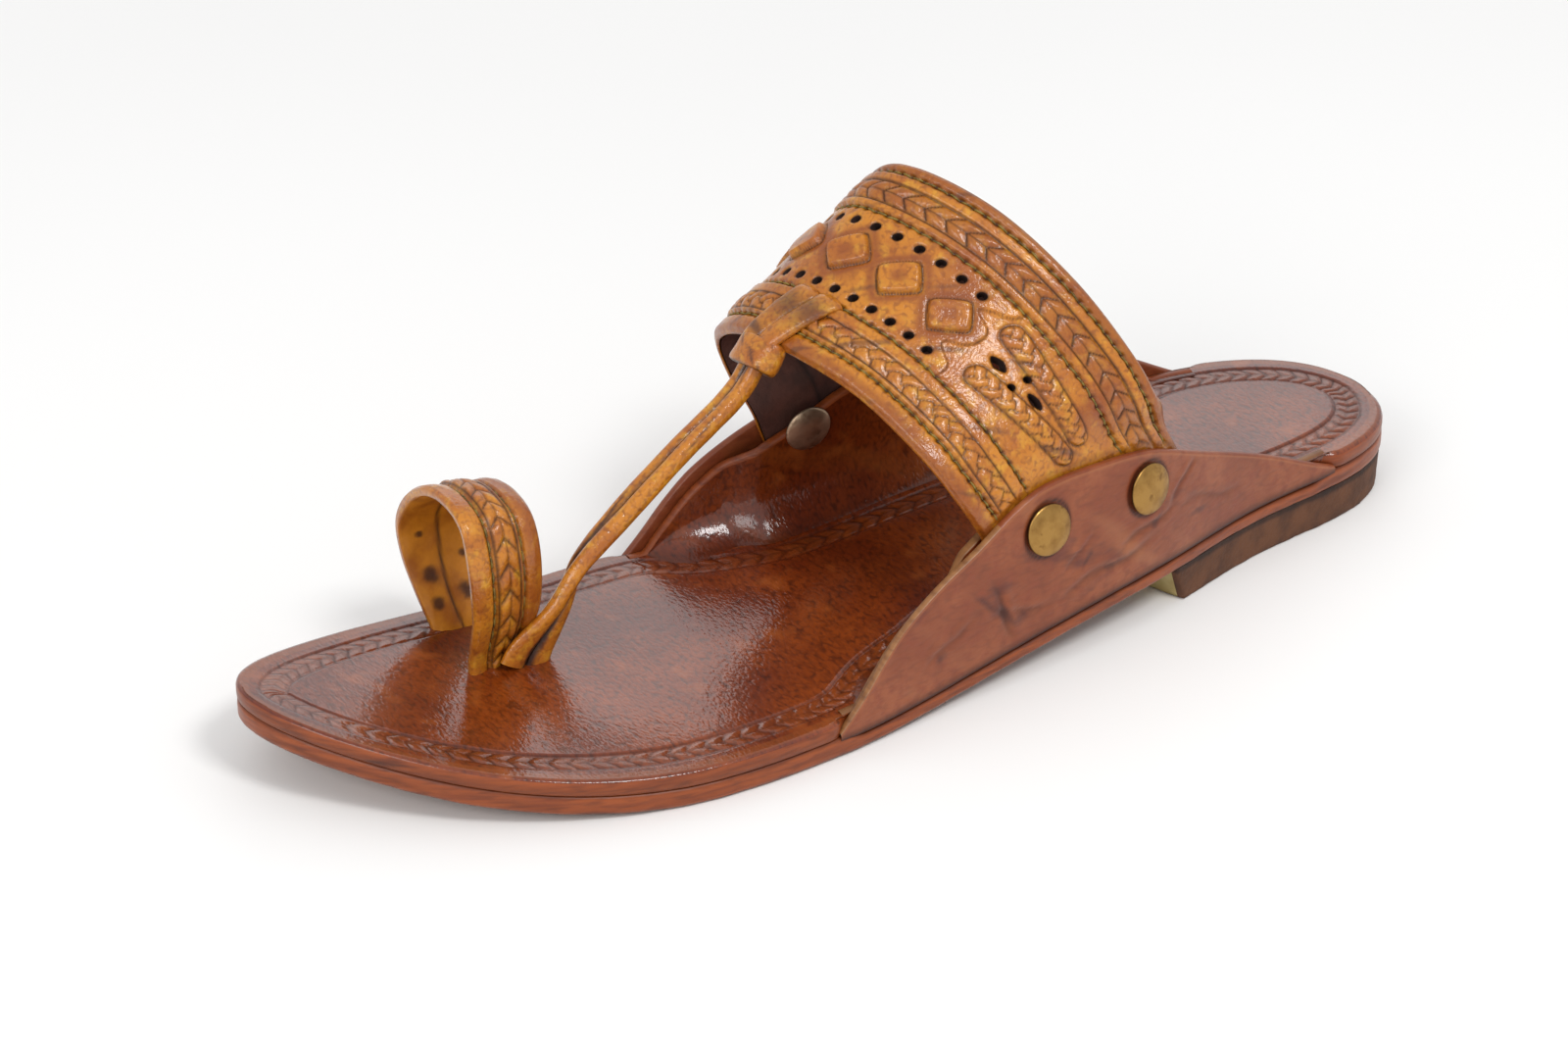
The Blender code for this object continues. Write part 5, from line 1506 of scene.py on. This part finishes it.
def make_outsole():
    """Thick bottom leather: burnished, slightly uneven sides and a worn underside."""
    count = 900
    edge, places, _ = outline_loop(lambda side, y: 0.0 * y, count)
    out = -inward(edge)
    share = np.clip(along_share(edge[:, 1]), 0, 1)
    low, high = seat_height(share), outsole_top(share)
    centre = 0.5 * (sole_edge(share, LATERAL) + sole_edge(share, MEDIAL))
    skive = np.zeros(count)
    for side in (LATERAL, MEDIAL):
        here = np.sign(edge[:, 0] - centre) == side
        place = flap_share(side, edge[:, 1])
        tucked = soft_step(place / 0.05) * soft_step((1 - place) / 0.05)
        skive = np.maximum(skive, here * tucked * SKIVE_DEPTH)
    high = high - skive
    rough = 0.10 * MM * wander(places / (7 * MM)) + 0.05 * MM * wander(places / (1.7 * MM))
    columns = []
    for push, level in OUTSOLE_SECTION:
        flat = edge + out * (push * MM + (rough if push > -2 else 0 * rough))[:, None]
        columns.append(np.concatenate((flat, (low + (high - low) * level)[:, None]), 1))
    points = np.stack(columns, 1)
    rings = len(columns)
    quads = grid_quads(count, rings, close_rows=True)
    kinds = np.where(quads.min(1) % rings < 2, 1, 0)
    crease_dirt_and_shade = np.zeros((count, rings))
    # painted shade along the top of the side, under the top sole
    crease_dirt_and_shade[:, 9:] = 0.45
    crease_dirt_and_shade[:, 5:7] = 0.25 * soft_step(wander(places / (21 * MM)) + 0.2)[:, None]
    # strips across the sole close its underside and its top
    half = count // 2
    caps = []
    for ring in (0, rings - 1):
        index = np.arange(count) * rings + ring
        lateral = index[: half + 1]
        medial = np.concatenate((index[:1], index[::-1][:half]))
        strip = np.stack((lateral[:-1], lateral[1:], medial[1:], medial[:-1]), 1)
        caps += [tuple(dict.fromkeys(face)) for face in strip.tolist()]
    caps = [face for face in caps if len(face) > 2]
    kinds = list(kinds) + [1] * len(caps)
    keys = ["edge", "ground_side"]
    marks = {"crease_dirt_and_shade": crease_dirt_and_shade}
    make_piece("outsole_leather", points, quads, keys, ["outsole"], marks, kinds, caps)


def heel_outline(slant):
    """Round the heel from the lateral breast corner to the medial one, then along the bulged breast."""
    corner = BREAST_SHARE - slant / SOLE_LENGTH
    share = corner - (corner - 0.0008) * np.sin(np.linspace(0, math.pi / 2, 90))
    lateral = np.stack((sole_edge(share, LATERAL) - HEEL_INSET, along_y(share)), 1)
    medial = np.stack((sole_edge(share, MEDIAL) + HEEL_INSET, along_y(share)), 1)
    step = np.linspace(0, 1, 42)[1:-1]
    breast = medial[0] + (lateral[0] - medial[0]) * step[:, None]
    breast[:, 1] -= BREAST_BULGE * np.sin(math.pi * step)
    return np.concatenate((lateral, medial[::-1], breast)), len(breast)


def make_heel():
    """The low block: rough stacked leather with a ragged lower edge and a pale breast."""
    top, breast_count = heel_outline(0.0)
    base, _ = heel_outline(BREAST_SLANT)
    count = len(top)
    breast_start = count - breast_count
    side_part = np.arange(count) < breast_start
    lengths = run_lengths(top)
    centre = top.mean(0)
    rings = []
    for level in np.linspace(1, 0, 12):
        flat = base + (top - base) * level
        rough = 0.12 * MM * wander(lengths / (2.1 * MM), np.full(count, level * 5)) * side_part
        shrink = 0.35 * MM * (1 - level) ** 3 + 0.25 * MM * (level > 0.99)
        flat = flat + unit(centre - flat) * (rough + shrink)[:, None]
        ragged = 0.22 * MM * (0.5 + 0.5 * wander(lengths / (1.3 * MM))) * side_part * (level < 0.01)
        z = (HEEL_HEIGHT - CLEARANCE) * level + ragged
        rings.append(np.concatenate((flat, z[:, None]), 1))
    foot = base + unit(centre - base) * 1.2 * MM
    rings.append(np.concatenate((foot, np.zeros((count, 1))), 1))
    points = np.stack(rings, 0)
    quads = grid_quads(len(rings), count, close_columns=True)
    on_breast = (quads.max(1) % count >= breast_start) & (quads.min(1) % count >= breast_start - 1)
    kinds = np.where(quads.min(1) // count >= len(rings) - 2, 2, np.where(on_breast, 1, 0))
    crease_dirt_and_shade = np.zeros((len(rings), count))
    # painted shade on the top rings, under the outsole
    crease_dirt_and_shade[0:2] = 0.6
    crease_dirt_and_shade[:, side_part] += 0.15
    last = (len(rings) - 1) * count
    caps = [list(range(last, last + count)), list(range(count))[::-1]]
    kinds = list(kinds) + [2, 0]
    keys = ["heel", "breast", "ground_side"]
    marks = {"crease_dirt_and_shade": crease_dirt_and_shade}
    make_piece("heel_block", points, quads[:, ::-1], keys, ["heel"], marks, kinds, caps)


# Toe ring and toe strap


def ring_sway(run):
    """How far the ring's strips wander off their line, as a share of its depth."""
    return 0.006 * np.sin(run / (6 * MM))


def ring_face(turn, along):
    """Height and painted masks of the ring's outer face, at shares round it and of its depth."""
    run = turn * RING_ROUND
    lane = along + ring_sway(run)
    height = read_steps(RING_STRIP_TABLE, np.clip(lane, 0, 1)) * MM
    offset = (lane - RING_PLAIT) * RING_DEPTH
    strand, dark = plait_relief(run, offset, PLAIT_WIDTH / 2, PLAIT_PITCH * 0.92, True)
    height = height + 0.95 * MM * strand
    # plait creases and grooves are painted dark, dirt and shade together
    crease_dirt_and_shade = 0.8 * dark
    for groove in RING_GROOVES:
        crease_dirt_and_shade = np.maximum(crease_dirt_and_shade, 0.85 * ridge((lane - groove) * RING_DEPTH, 0.30 * MM))
    for row in RING_STITCH_ROWS:
        step = (run % STITCH_PITCH) - STITCH_PITCH / 2
        height = height - 0.35 * MM * ridge(np.hypot(step, (lane - row) * RING_DEPTH), 0.4 * MM)
    height = height + 0.12 * MM * wander(run / (8 * MM), along * 5)
    tone = 0.6 * soft_step(wander(run / (13 * MM), along * 4) * 1.5 - 0.4)
    tone = np.maximum(tone, 0.5 * soft_step((along - 0.75) / 0.1))
    stain = 0.6 * soft_step((along - 0.78) / 0.08) * soft_step(wander(run / (14 * MM), along * 2) + 0.1)
    return height, {"crease_dirt_and_shade": crease_dirt_and_shade, "tone": tone, "stain": stain}


def ring_lining(turn, along):
    """Height and painted masks of the ring's gold inside, with its seam and its brown stains."""
    run = turn * RING_ROUND
    seam = ridge((along - 0.48 - 0.03 * np.sin(run / (5 * MM))) * RING_DEPTH, 0.45 * MM)
    bow = 0.7 * MM * (2 * along - 1) ** 4
    height = -RING_THICKNESS + bow + 0.25 * MM * seam + 0.12 * MM * wander(run / (6 * MM), along * 6)
    blot = np.zeros_like(seam)
    for round_share, across_share, size in RING_STAINS:
        reach = np.hypot((turn - round_share) * RING_ROUND, (along - across_share) * RING_DEPTH)
        ragged = 0.35 * wander(run / (1.3 * MM), along * 9)
        blot = np.maximum(blot, 0.85 * soft_step(1.5 - reach / (size * MM) + ragged))
    return height, {"crease_dirt_and_shade": 0.85 * seam, "tone": np.zeros_like(seam), "stain": blot}


def make_toe_ring():
    """The big toe's loop: rolled edges, a chevron plait between two seams, gold inside."""
    turns = np.linspace(0, 1, 330)
    outer = np.meshgrid(turns, np.linspace(0, 1, 62), indexing="ij")
    inner = np.meshgrid(turns, np.linspace(1, 0, 30), indexing="ij")
    face, face_marks = ring_face(*outer)
    lining, lining_marks = ring_lining(*inner)
    points = np.concatenate((ring_point(*outer, face), ring_point(*inner, lining)), 1)
    rows, columns = points.shape[:2]
    quads = grid_quads(rows, columns, close_columns=True)
    column = quads.min(1) % columns
    wraps = (quads.max(1) % columns == columns - 1) & (column == 0)
    kinds = np.where((column >= face.shape[1]) & ~wraps, 1, 0)
    marks = {key: np.concatenate((face_marks[key], lining_marks[key]), 1) for key in face_marks}
    keys = ["honey", "gold_lining"]
    make_piece("toe_ring_leather", points, quads, keys, ["toe_ring"], marks, kinds)


def make_ring_stitches():
    """The two seams of the toe ring."""
    points, quads = [], []
    count = int(RING_ROUND / STITCH_PITCH)
    for row in RING_STITCH_ROWS:
        for index in range(3, count - 2):
            low, high = ((index + part) * STITCH_PITCH / RING_ROUND for part in (0.5, 1.5))
            start = ring_point(low + 0.003, row - ring_sway(low * RING_ROUND), -0.62 * MM)
            end = ring_point(high - 0.003, row - ring_sway(high * RING_ROUND), -0.62 * MM)
            lift = unit(ring_point(low, row, 1 * MM) - ring_point(low, row, 0.0))
            add_thread(points, quads, start, end, lift, RING_THREAD_RADIUS)
    points, quads = np.concatenate(points), np.concatenate(quads)
    make_piece("toe_ring_stitches", points, quads, ["thread"])


def strap_line(key):
    """Centre of the strap's run at places in its table."""
    keyed = [(index, *row) for index, row in enumerate(STRAP_TABLE)]
    across, along, up, width, thick, turn = read_curve(keyed, key)
    centre = np.stack((across * RING_WIDTH + SHIFT_X, along * SOLE_LENGTH, up * INSTEP_HEIGHT), -1)
    return centre, width * STRAP_WIDTH, thick * STRAP_THICKNESS, np.radians(turn)


def sweep(centres, wide, deep, half_wide, half_deep, sides, power):
    """Rings of a rounded section along a line of centres."""
    angle = round_angles(sides)
    cosine, sine = np.cos(angle), np.sin(angle)
    cosine = np.sign(cosine) * np.abs(cosine) ** (2 / power)
    sine = np.sign(sine) * np.abs(sine) ** (2 / power)
    return (
        centres[:, None]
        + wide[:, None] * (cosine[None, :] * half_wide[:, None])[..., None]
        + deep[:, None] * (sine[None, :] * half_deep[:, None])[..., None]
    )


def make_cords(name, points, crease_dirt_and_shade, stain):
    """A pair of swept cords as one honey-coloured piece."""
    rows, sides = points[0].shape[:2]
    quads = [grid_quads(rows, sides, cord * rows * sides, close_columns=True) for cord in (0, 1)]
    marks = {"crease_dirt_and_shade": np.concatenate(crease_dirt_and_shade), "stain": np.concatenate(stain)}
    make_piece(name, np.concatenate(points), np.concatenate(quads), ["honey"], (), marks)


def make_toe_strap():
    """Two rolled cords side by side, fanned where they enter the sole; returns how they end at the top."""
    rows, sides = 150, 26
    centre, width, thick, turn = strap_line(np.linspace(0, len(STRAP_TABLE) - 1, rows))
    tangent = unit(np.gradient(centre, axis=0))
    flat = unit(np.array((1.0, 0.0, 0.0)) - tangent * tangent[:, :1])
    normal = np.cross(tangent, flat)
    wide = flat * np.cos(turn)[:, None] - normal * np.sin(turn)[:, None]
    deep = np.cross(tangent, wide)
    run = run_lengths(centre)
    angle = round_angles(sides)[None, :]
    points, crease_dirt_and_shade, stain = [], [], []
    for cord, lean in ((-1, 0.0), (1, 1.7)):
        lift = 0.10 * thick * cord * np.sin(run / (17 * MM) + 0.6)
        middle = centre + wide * (cord * width * 0.262)[:, None] + deep * lift[:, None]
        girth = 1 + 0.05 * wander(run / (6 * MM) + lean)
        points.append(sweep(middle, wide, deep, width * 0.245 * girth, thick * 0.47 * girth, sides, 2.2))
        # painted shade on each cord's side towards the other cord; the stains lean that way too
        cord_gap_shade = np.clip(np.cos(angle) * -cord, 0, 1)
        crease_dirt_and_shade.append(0.95 * cord_gap_shade**2.5 * np.ones((rows, 1)))
        spread = wander((run / (9 * MM) + lean)[:, None], 1.5 * angle)
        stain.append(0.85 * soft_step((spread + 0.9 * cord_gap_shade - 0.55) / 0.5))
    make_cords("toe_strap_cords", points, crease_dirt_and_shade, stain)
    return centre[-1], tangent[-1], wide[-1], deep[-1]


def make_knot(centre, tangent, wide, deep):
    """The flat wrap that holds the strap under the band's front edge."""
    rows, sides = 30, 72
    level, angle = np.meshgrid(np.linspace(-1, 1, rows), round_angles(sides), indexing="ij")
    edge = np.sqrt(np.clip(1 - np.abs(level) ** 5, 0.0, 1))
    swell = 0.80 + 0.20 * edge + 0.03 * np.sin(3 * angle + 2 * level)
    half_wide = KNOT_WIDTH / 2 * swell * (1 - 0.06 * level)
    half_deep = KNOT_DEPTH / 2 * swell
    cosine = np.sign(np.cos(angle)) * np.abs(np.cos(angle)) ** 0.8
    sine = np.sign(np.sin(angle)) * np.abs(np.sin(angle)) ** 0.8
    up = level * KNOT_HEIGHT / 2 + 0.5 * MM * np.cos(angle)
    points = (
        centre
        + wide * (cosine * half_wide)[..., None]
        + deep * (sine * half_deep)[..., None]
        + tangent * (up - 0.6 * MM)[..., None]
    )
    seam = ridge(np.sin((angle - 2.2) / 2) * KNOT_WIDTH, 0.5 * MM)
    stain = 0.8 * soft_step((wander(3 * angle, level * 2.2) - 0.45) / 0.35)
    # painted shade at the wrap's top and bottom rims, where the cords go in; the seam line is darker too
    crease_dirt_and_shade = np.maximum(0.8 * soft_step((np.abs(level) - 0.9) / 0.1), 0.5 * seam)
    quads = grid_quads(rows, sides, close_columns=True)
    caps = [list(range(sides))[::-1], list(range((rows - 1) * sides, rows * sides))]
    marks = {"crease_dirt_and_shade": crease_dirt_and_shade, "stain": stain}
    make_piece("knot_wrap", points, quads, ["honey"], (), marks, None, caps)


def make_loop(knot):
    """The two broad ends of the strap, laid over the band's front edge and tucked into its face."""
    spread = np.linspace(0.35, 0.70, 400)
    across = spread[np.argmin(np.abs(band_point(spread, 0.0)[:, 0] - knot[0]))]
    outward = unit(band_point(across, 0.1, 1 * MM) - band_point(across, 0.1, 0.0))
    rows, sides = 90, 24
    share = np.linspace(0, 1, rows)
    angle = round_angles(sides)[None, :]
    half_wide = LOOP_WIDTH / 4 * (0.88 + 0.22 * share)
    half_deep = LOOP_RISE * (0.62 - 0.10 * share) * soft_step((1.02 - share) / 0.08 + 0.3)
    points, crease_dirt_and_shade, stain = [], [], []
    for cord in (-1, 1):
        spots = []
        for index, (along, height, fan) in enumerate(LOOP_TABLE):
            slant = -0.045 * (along + 0.03)
            place = across + slant + cord * fan * LOOP_WIDTH / 4 / BAND_LENGTH
            spots.append((index, *band_point(place, along, height * MM)))
        line = np.stack(read_curve(spots, np.linspace(0, len(spots) - 1, rows)), -1)
        tangent = unit(np.gradient(line, axis=0))
        wide = unit(np.cross(tangent, outward))
        deep = np.cross(wide, tangent)
        points.append(sweep(line, wide, deep, half_wide, half_deep, sides, 2.5))
        # painted shade on each cord's side next to the other cord
        near = np.clip(np.cos(angle) * cord, 0, 1) ** 6
        crease_dirt_and_shade.append(0.9 * near * np.ones((rows, 1)))
        blot = ridge(share - 0.62, 0.16)[:, None] * (0.5 + 0.5 * np.cos(angle - 1.2))
        mark = ridge(share - 0.30, 0.06)[:, None] * (0.5 + 0.5 * np.cos(angle - 1.8))
        stain.append(np.clip(0.7 * blot + (0.8 * mark if cord > 0 else 0), 0, 0.75))
    make_cords("strap_loop", points, crease_dirt_and_shade, stain)


# Rivets


def rivet_frame(side, share, height):
    """Place and axis of a rivet: on the flap's outer face, square to it."""
    front, rear = flap_tips(side)
    station = front - (front - rear) * share
    y = along_y(station)
    z = float(outsole_top(station)) + height * float(flap_height(side))
    reach = 2 * MM
    spot = Vector((float(wall_x(side, y, z, 0.0)), y, z))
    up = Vector((float(wall_x(side, y, z + reach, 0.0)), y, z + reach)) - spot
    back = Vector((float(wall_x(side, y + reach, z, 0.0)), y + reach, z)) - spot
    normal = up.cross(back).normalized()
    if normal.x * side < 0:
        normal.negate()
    turn = normal.to_track_quat("Z", "Y").to_matrix().to_4x4()
    return Matrix.Translation(spot) @ turn, float(wing_inset(side, y)) + WING_THICKNESS


def make_rivet(node, side, share, height):
    """A domed cap outside, a flatter one inside and the shank between them."""
    place, depth = rivet_frame(side, share, height)
    outer, inner = RIVET_CAP_DIAMETER / 2, RIVET_INNER_DIAMETER / 2
    outer_dome, inner_dome = 0.62 * RIVET_CAP_HEIGHT, 0.7 * RIVET_CAP_HEIGHT
    low = -depth - RIVET_SEAT_GAP
    profile = [(0.0, CLEARANCE + RIVET_RIM + outer_dome)]
    for part in np.linspace(0.1, 1, 14):
        profile.append((outer * part * 0.985, CLEARANCE + RIVET_RIM + outer_dome * (1 - part**2.6)))
    profile += [(outer, CLEARANCE + 0.6 * RIVET_RIM), (outer, CLEARANCE)]
    profile += [(RIVET_SHANK, CLEARANCE), (RIVET_SHANK, low)]
    inner_start = len(profile)
    profile += [(inner, low), (inner, low - 0.6 * RIVET_RIM)]
    for part in np.linspace(1, 0.1, 14):
        profile.append((inner * part * 0.985, low - RIVET_RIM - inner_dome * (1 - part**2.6)))
    profile.append((0.0, low - RIVET_RIM - inner_dome))
    sides = 48
    angle = round_angles(sides)
    radius, level = (np.array(column)[:, None] for column in zip(*profile))
    local = np.stack((radius * np.cos(angle), radius * np.sin(angle), level + 0 * angle), -1)
    matrix = np.array(place)
    points = local @ matrix[:3, :3].T + matrix[:3, 3]
    quads = grid_quads(len(profile), sides, close_columns=True)
    kinds = np.where(quads.min(1) // sides >= inner_start - 1, 1, 0)
    crease_dirt_and_shade = np.zeros((len(profile), sides))
    # painted shade on the outer cap's rim and underside and on the shank, where it meets the leather
    crease_dirt_and_shade[inner_start - 4 : inner_start] = 0.7
    keys = ["brass", "inner_brass"]
    marks = {"crease_dirt_and_shade": crease_dirt_and_shade}
    make_piece(node + "_caps", points, quads[:, ::-1], keys, [node], marks, kinds)


# Studio


def aim(item, target):
    """Turns a light to face a place."""
    item.rotation_euler = (Vector(target) - item.location).to_track_quat("-Z", "Y").to_euler()


def soft_panel(name, place, target, width, height, power):
    """A large soft white light."""
    data = bpy.data.lights.new(name, "AREA")
    data.shape = "RECTANGLE"
    data.size, data.size_y = width, height
    data.energy = power
    item = bpy.data.objects.new(name, data)
    bpy.context.scene.collection.objects.link(item)
    item.location = place
    aim(item, target)


def make_camera():
    """The camera, at the photograph's own angle."""
    data = bpy.data.cameras.new("camera")
    camera = bpy.data.objects.new("camera", data)
    bpy.context.scene.collection.objects.link(camera)
    turn = Matrix([Vector(axis) for axis in CAMERA_AXES]).transposed().to_4x4()
    camera.matrix_world = Matrix.Translation(Vector(CAMERA_PLACE) + Vector((SHIFT_X, 0, 0))) @ turn
    data.sensor_width = CAMERA_SENSOR
    data.lens = CAMERA_LENS
    data.clip_start, data.clip_end = 0.05, 20
    bpy.context.scene.camera = camera


def make_floor():
    """Matt off-white paper under the shoe: even and pale, it gives back a soft light and no gloss."""
    mesh = bpy.data.meshes.new("floor")
    corners = [(x * FLOOR_REACH, y * FLOOR_REACH, 0) for x, y in ((-1, -1), (1, -1), (1, 1), (-1, 1))]
    mesh.from_pydata(corners, [], [(0, 1, 2, 3)])
    floor = bpy.data.objects.new("floor", mesh)
    floor.location.z = -FLOOR_GAP
    bpy.context.scene.collection.objects.link(floor)
    paper, tree, shader, place = new_material("matt_paper_floor")
    cloud = blotches(tree, place, 0.3, 0.3, 0.7, 1.0)
    tree.links.new(tint(tree, cloud, colour("#F4F3F1"), colour("#F1F0EE")), shader.inputs["Base Color"])
    shader.inputs["Roughness"].default_value = 0.9
    mesh.materials.append(paper)


def make_studio():
    """Pale floor, the camera, and soft light from above, behind and in front."""
    make_camera()
    make_floor()
    world = bpy.data.worlds.new("studio")
    world.use_nodes = True
    background = world.node_tree.nodes["Background"]
    background.inputs["Color"].default_value = colour("#F5F6F8")
    background.inputs["Strength"].default_value = WORLD_STRENGTH
    bpy.context.scene.world = world
    for panel in PANELS:
        soft_panel(*panel)
    bpy.context.scene.view_settings.view_transform = "Standard"


def build():
    """Puts the whole shoe and its studio together."""
    make_studio()
    make_outsole()
    make_heel()
    make_top_sole()
    for side, word in ((LATERAL, "lateral"), (MEDIAL, "medial")):
        make_wing(side, "inner_wing_" + word)
        make_flap(side, "side_flap_" + word)
    make_band_face()
    make_band_lining()
    make_hole_walls()
    make_band_stitches()
    make_toe_ring()
    make_ring_stitches()
    knot = make_toe_strap()
    make_knot(*knot)
    make_loop(knot[0])
    for row in RIVETS:
        make_rivet(*row)


build()
